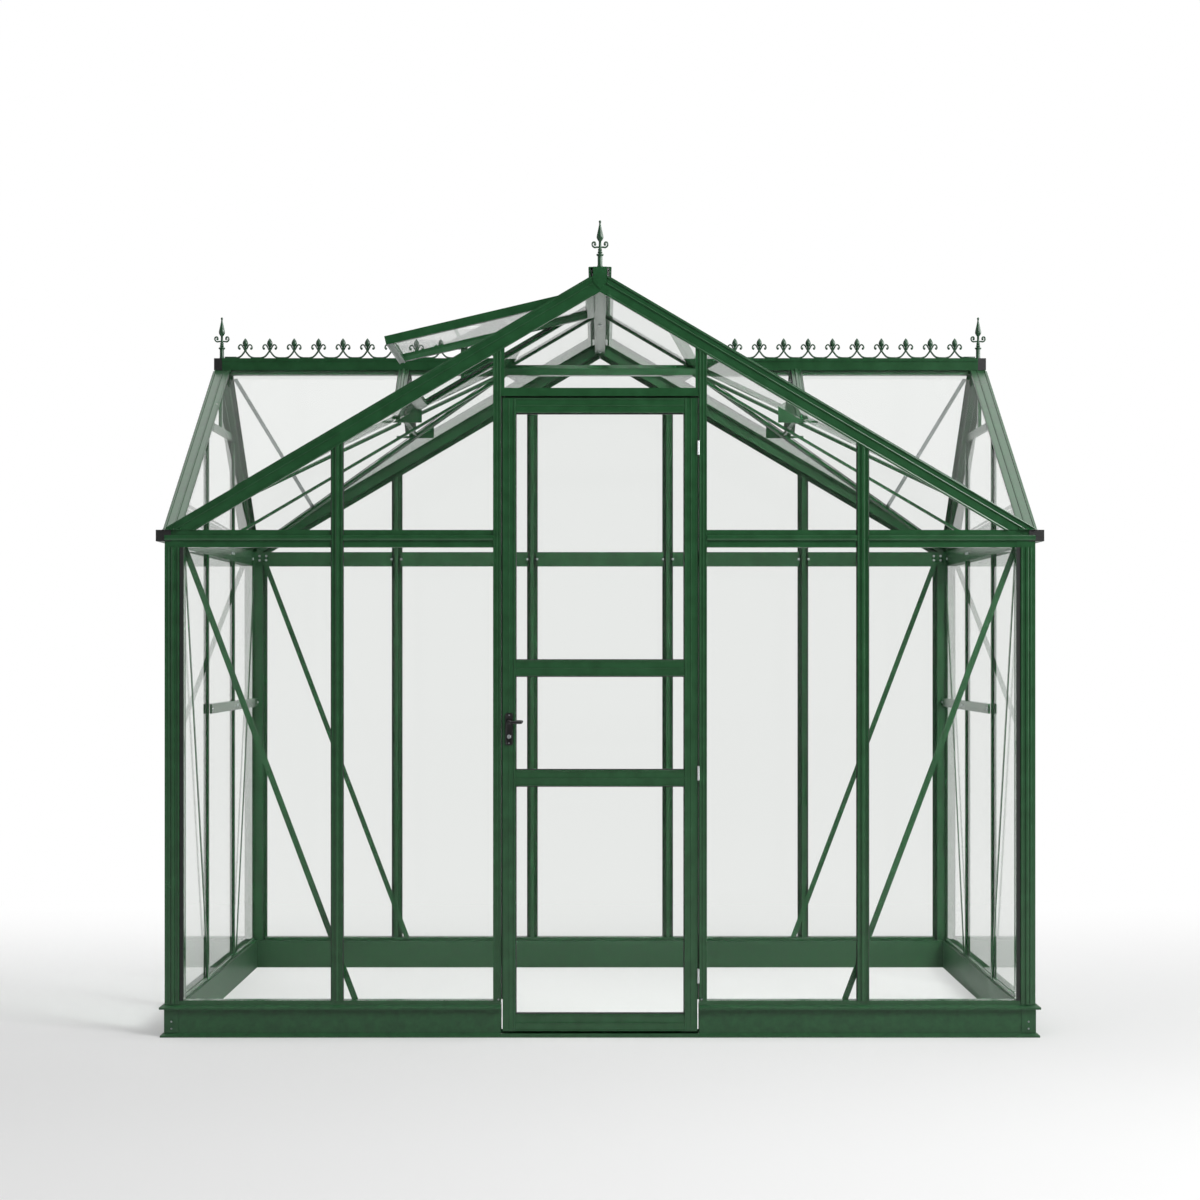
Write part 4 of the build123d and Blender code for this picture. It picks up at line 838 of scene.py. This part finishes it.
def pale_floor():
    """A pale floor that fades into the white background behind the greenhouse."""
    bpy.ops.object.select_all(action="DESELECT")
    bpy.ops.mesh.primitive_plane_add(size=80, location=(0, 0, 0))
    floor = bpy.context.object
    floor.name = "floor"
    material, tree, out = finish_named("matt_white_floor")
    place = add_node(tree, "ShaderNodeTexCoord").outputs["Object"]
    across = add_node(tree, "ShaderNodeSeparateXYZ", [("Vector", place)]).outputs["Y"]
    fade = add_node(tree, "ShaderNodeMapRange", [("Value", across)], interpolation_type="SMOOTHSTEP",
                    From_Min=-2.5, From_Max=3.5).outputs["Result"]
    rays = add_node(tree, "ShaderNodeLightPath").outputs
    seen = add_node(tree, "ShaderNodeMath", [(0, rays["Is Camera Ray"]), (1, rays["Is Transmission Ray"])],
                    operation="MAXIMUM").outputs[0]
    share = add_node(tree, "ShaderNodeMath", [(0, fade), (1, seen)], operation="MULTIPLY").outputs[0]
    matt = add_node(tree, "ShaderNodeBsdfDiffuse", Color=colour("#eeeeee")).outputs["BSDF"]
    white = add_node(tree, "ShaderNodeEmission", Color=colour("#ffffff"), Strength=1.0).outputs["Emission"]
    mixed = add_node(tree, "ShaderNodeMixShader", [("Fac", share), (1, matt), (2, white)]).outputs["Shader"]
    tree.links.new(mixed, out.inputs["Surface"])
    floor.data.materials.append(material)


def soft_world():
    """A white surround: seen as white, it lights softly from above and gives the edges a sheen."""
    world = bpy.data.worlds.new("white_surround")
    bpy.context.scene.world = world
    world.use_nodes = True
    tree = world.node_tree
    tree.nodes.clear()
    out = tree.nodes.new("ShaderNodeOutputWorld")
    rays = add_node(tree, "ShaderNodeLightPath").outputs
    seen = add_node(tree, "ShaderNodeMath", [(0, rays["Is Camera Ray"]), (1, rays["Is Transmission Ray"])],
                    operation="MAXIMUM").outputs[0]
    place = add_node(tree, "ShaderNodeTexCoord").outputs["Generated"]
    height = add_node(tree, "ShaderNodeSeparateXYZ", [("Vector", place)]).outputs["Z"]
    level = add_node(tree, "ShaderNodeMapRange", [("Value", height)], From_Min=0.0, From_Max=0.9,
                     To_Min=0.06, To_Max=0.70).outputs["Result"]
    white = colour("#ffffff")
    soft = add_node(tree, "ShaderNodeBackground", [("Strength", level)], Color=white).outputs["Background"]
    plain = add_node(tree, "ShaderNodeBackground", Color=white, Strength=1.0).outputs["Background"]
    across = add_node(tree, "ShaderNodeSeparateXYZ", [("Vector", place)]).outputs["X"]
    sheen = None
    for source, start, stop, strength in ((across, 0.62, 0.95, 8.0), (across, -0.80, -0.97, 1.2),
                                          (height, 0.66, 0.93, 3.0)):
        band = add_node(tree, "ShaderNodeMapRange", [("Value", source)], interpolation_type="SMOOTHSTEP",
                        From_Min=start, From_Max=stop, To_Min=0.02, To_Max=strength).outputs["Result"]
        if sheen:
            band = add_node(tree, "ShaderNodeMath", [(0, band), (1, sheen)], operation="ADD").outputs[0]
        sheen = band
    bands = add_node(tree, "ShaderNodeBackground", [("Strength", sheen)], Color=white).outputs["Background"]
    lit = add_node(tree, "ShaderNodeMixShader", [("Fac", rays["Is Glossy Ray"]), (1, soft), (2, bands)])
    mixed = add_node(tree, "ShaderNodeMixShader", [("Fac", seen), (1, lit.outputs["Shader"]), (2, plain)])
    tree.links.new(mixed.outputs["Shader"], out.inputs["Surface"])


def soft_lamp(name, place, target, size, watts):
    """A square area lamp that looks at a point."""
    lamp = bpy.data.lights.new(name, "AREA")
    lamp.shape = "SQUARE"
    lamp.size = size
    lamp.energy = watts
    holder = bpy.data.objects.new(name, lamp)
    holder.location = place
    holder.rotation_euler = (Vector(target) - Vector(place)).to_track_quat("-Z", "Y").to_euler()
    bpy.context.scene.collection.objects.link(holder)


def front_camera():
    """The photograph's view: level, square to the front, the horizon a little below the middle."""
    camera = bpy.data.cameras.new("front_view")
    camera.sensor_width = 36
    camera.lens = FOCAL_MM
    camera.shift_y = HORIZON_SHIFT
    holder = bpy.data.objects.new("front_view", camera)
    holder.location = CAMERA_PLACE
    holder.rotation_euler = (math.radians(90), 0, 0)
    bpy.context.scene.collection.objects.link(holder)
    bpy.context.scene.camera = holder


pale_floor()
soft_world()
soft_lamp("key_lamp", (4.5, -5.0, 5.5), (0, 0, 1.2), 2.6, 360)
soft_lamp("fill_lamp", (-5.5, -5.5, 3.0), (0, 0, 1.2), 4.0, 35)
front_camera()
bpy.context.scene.view_settings.view_transform = "Standard"
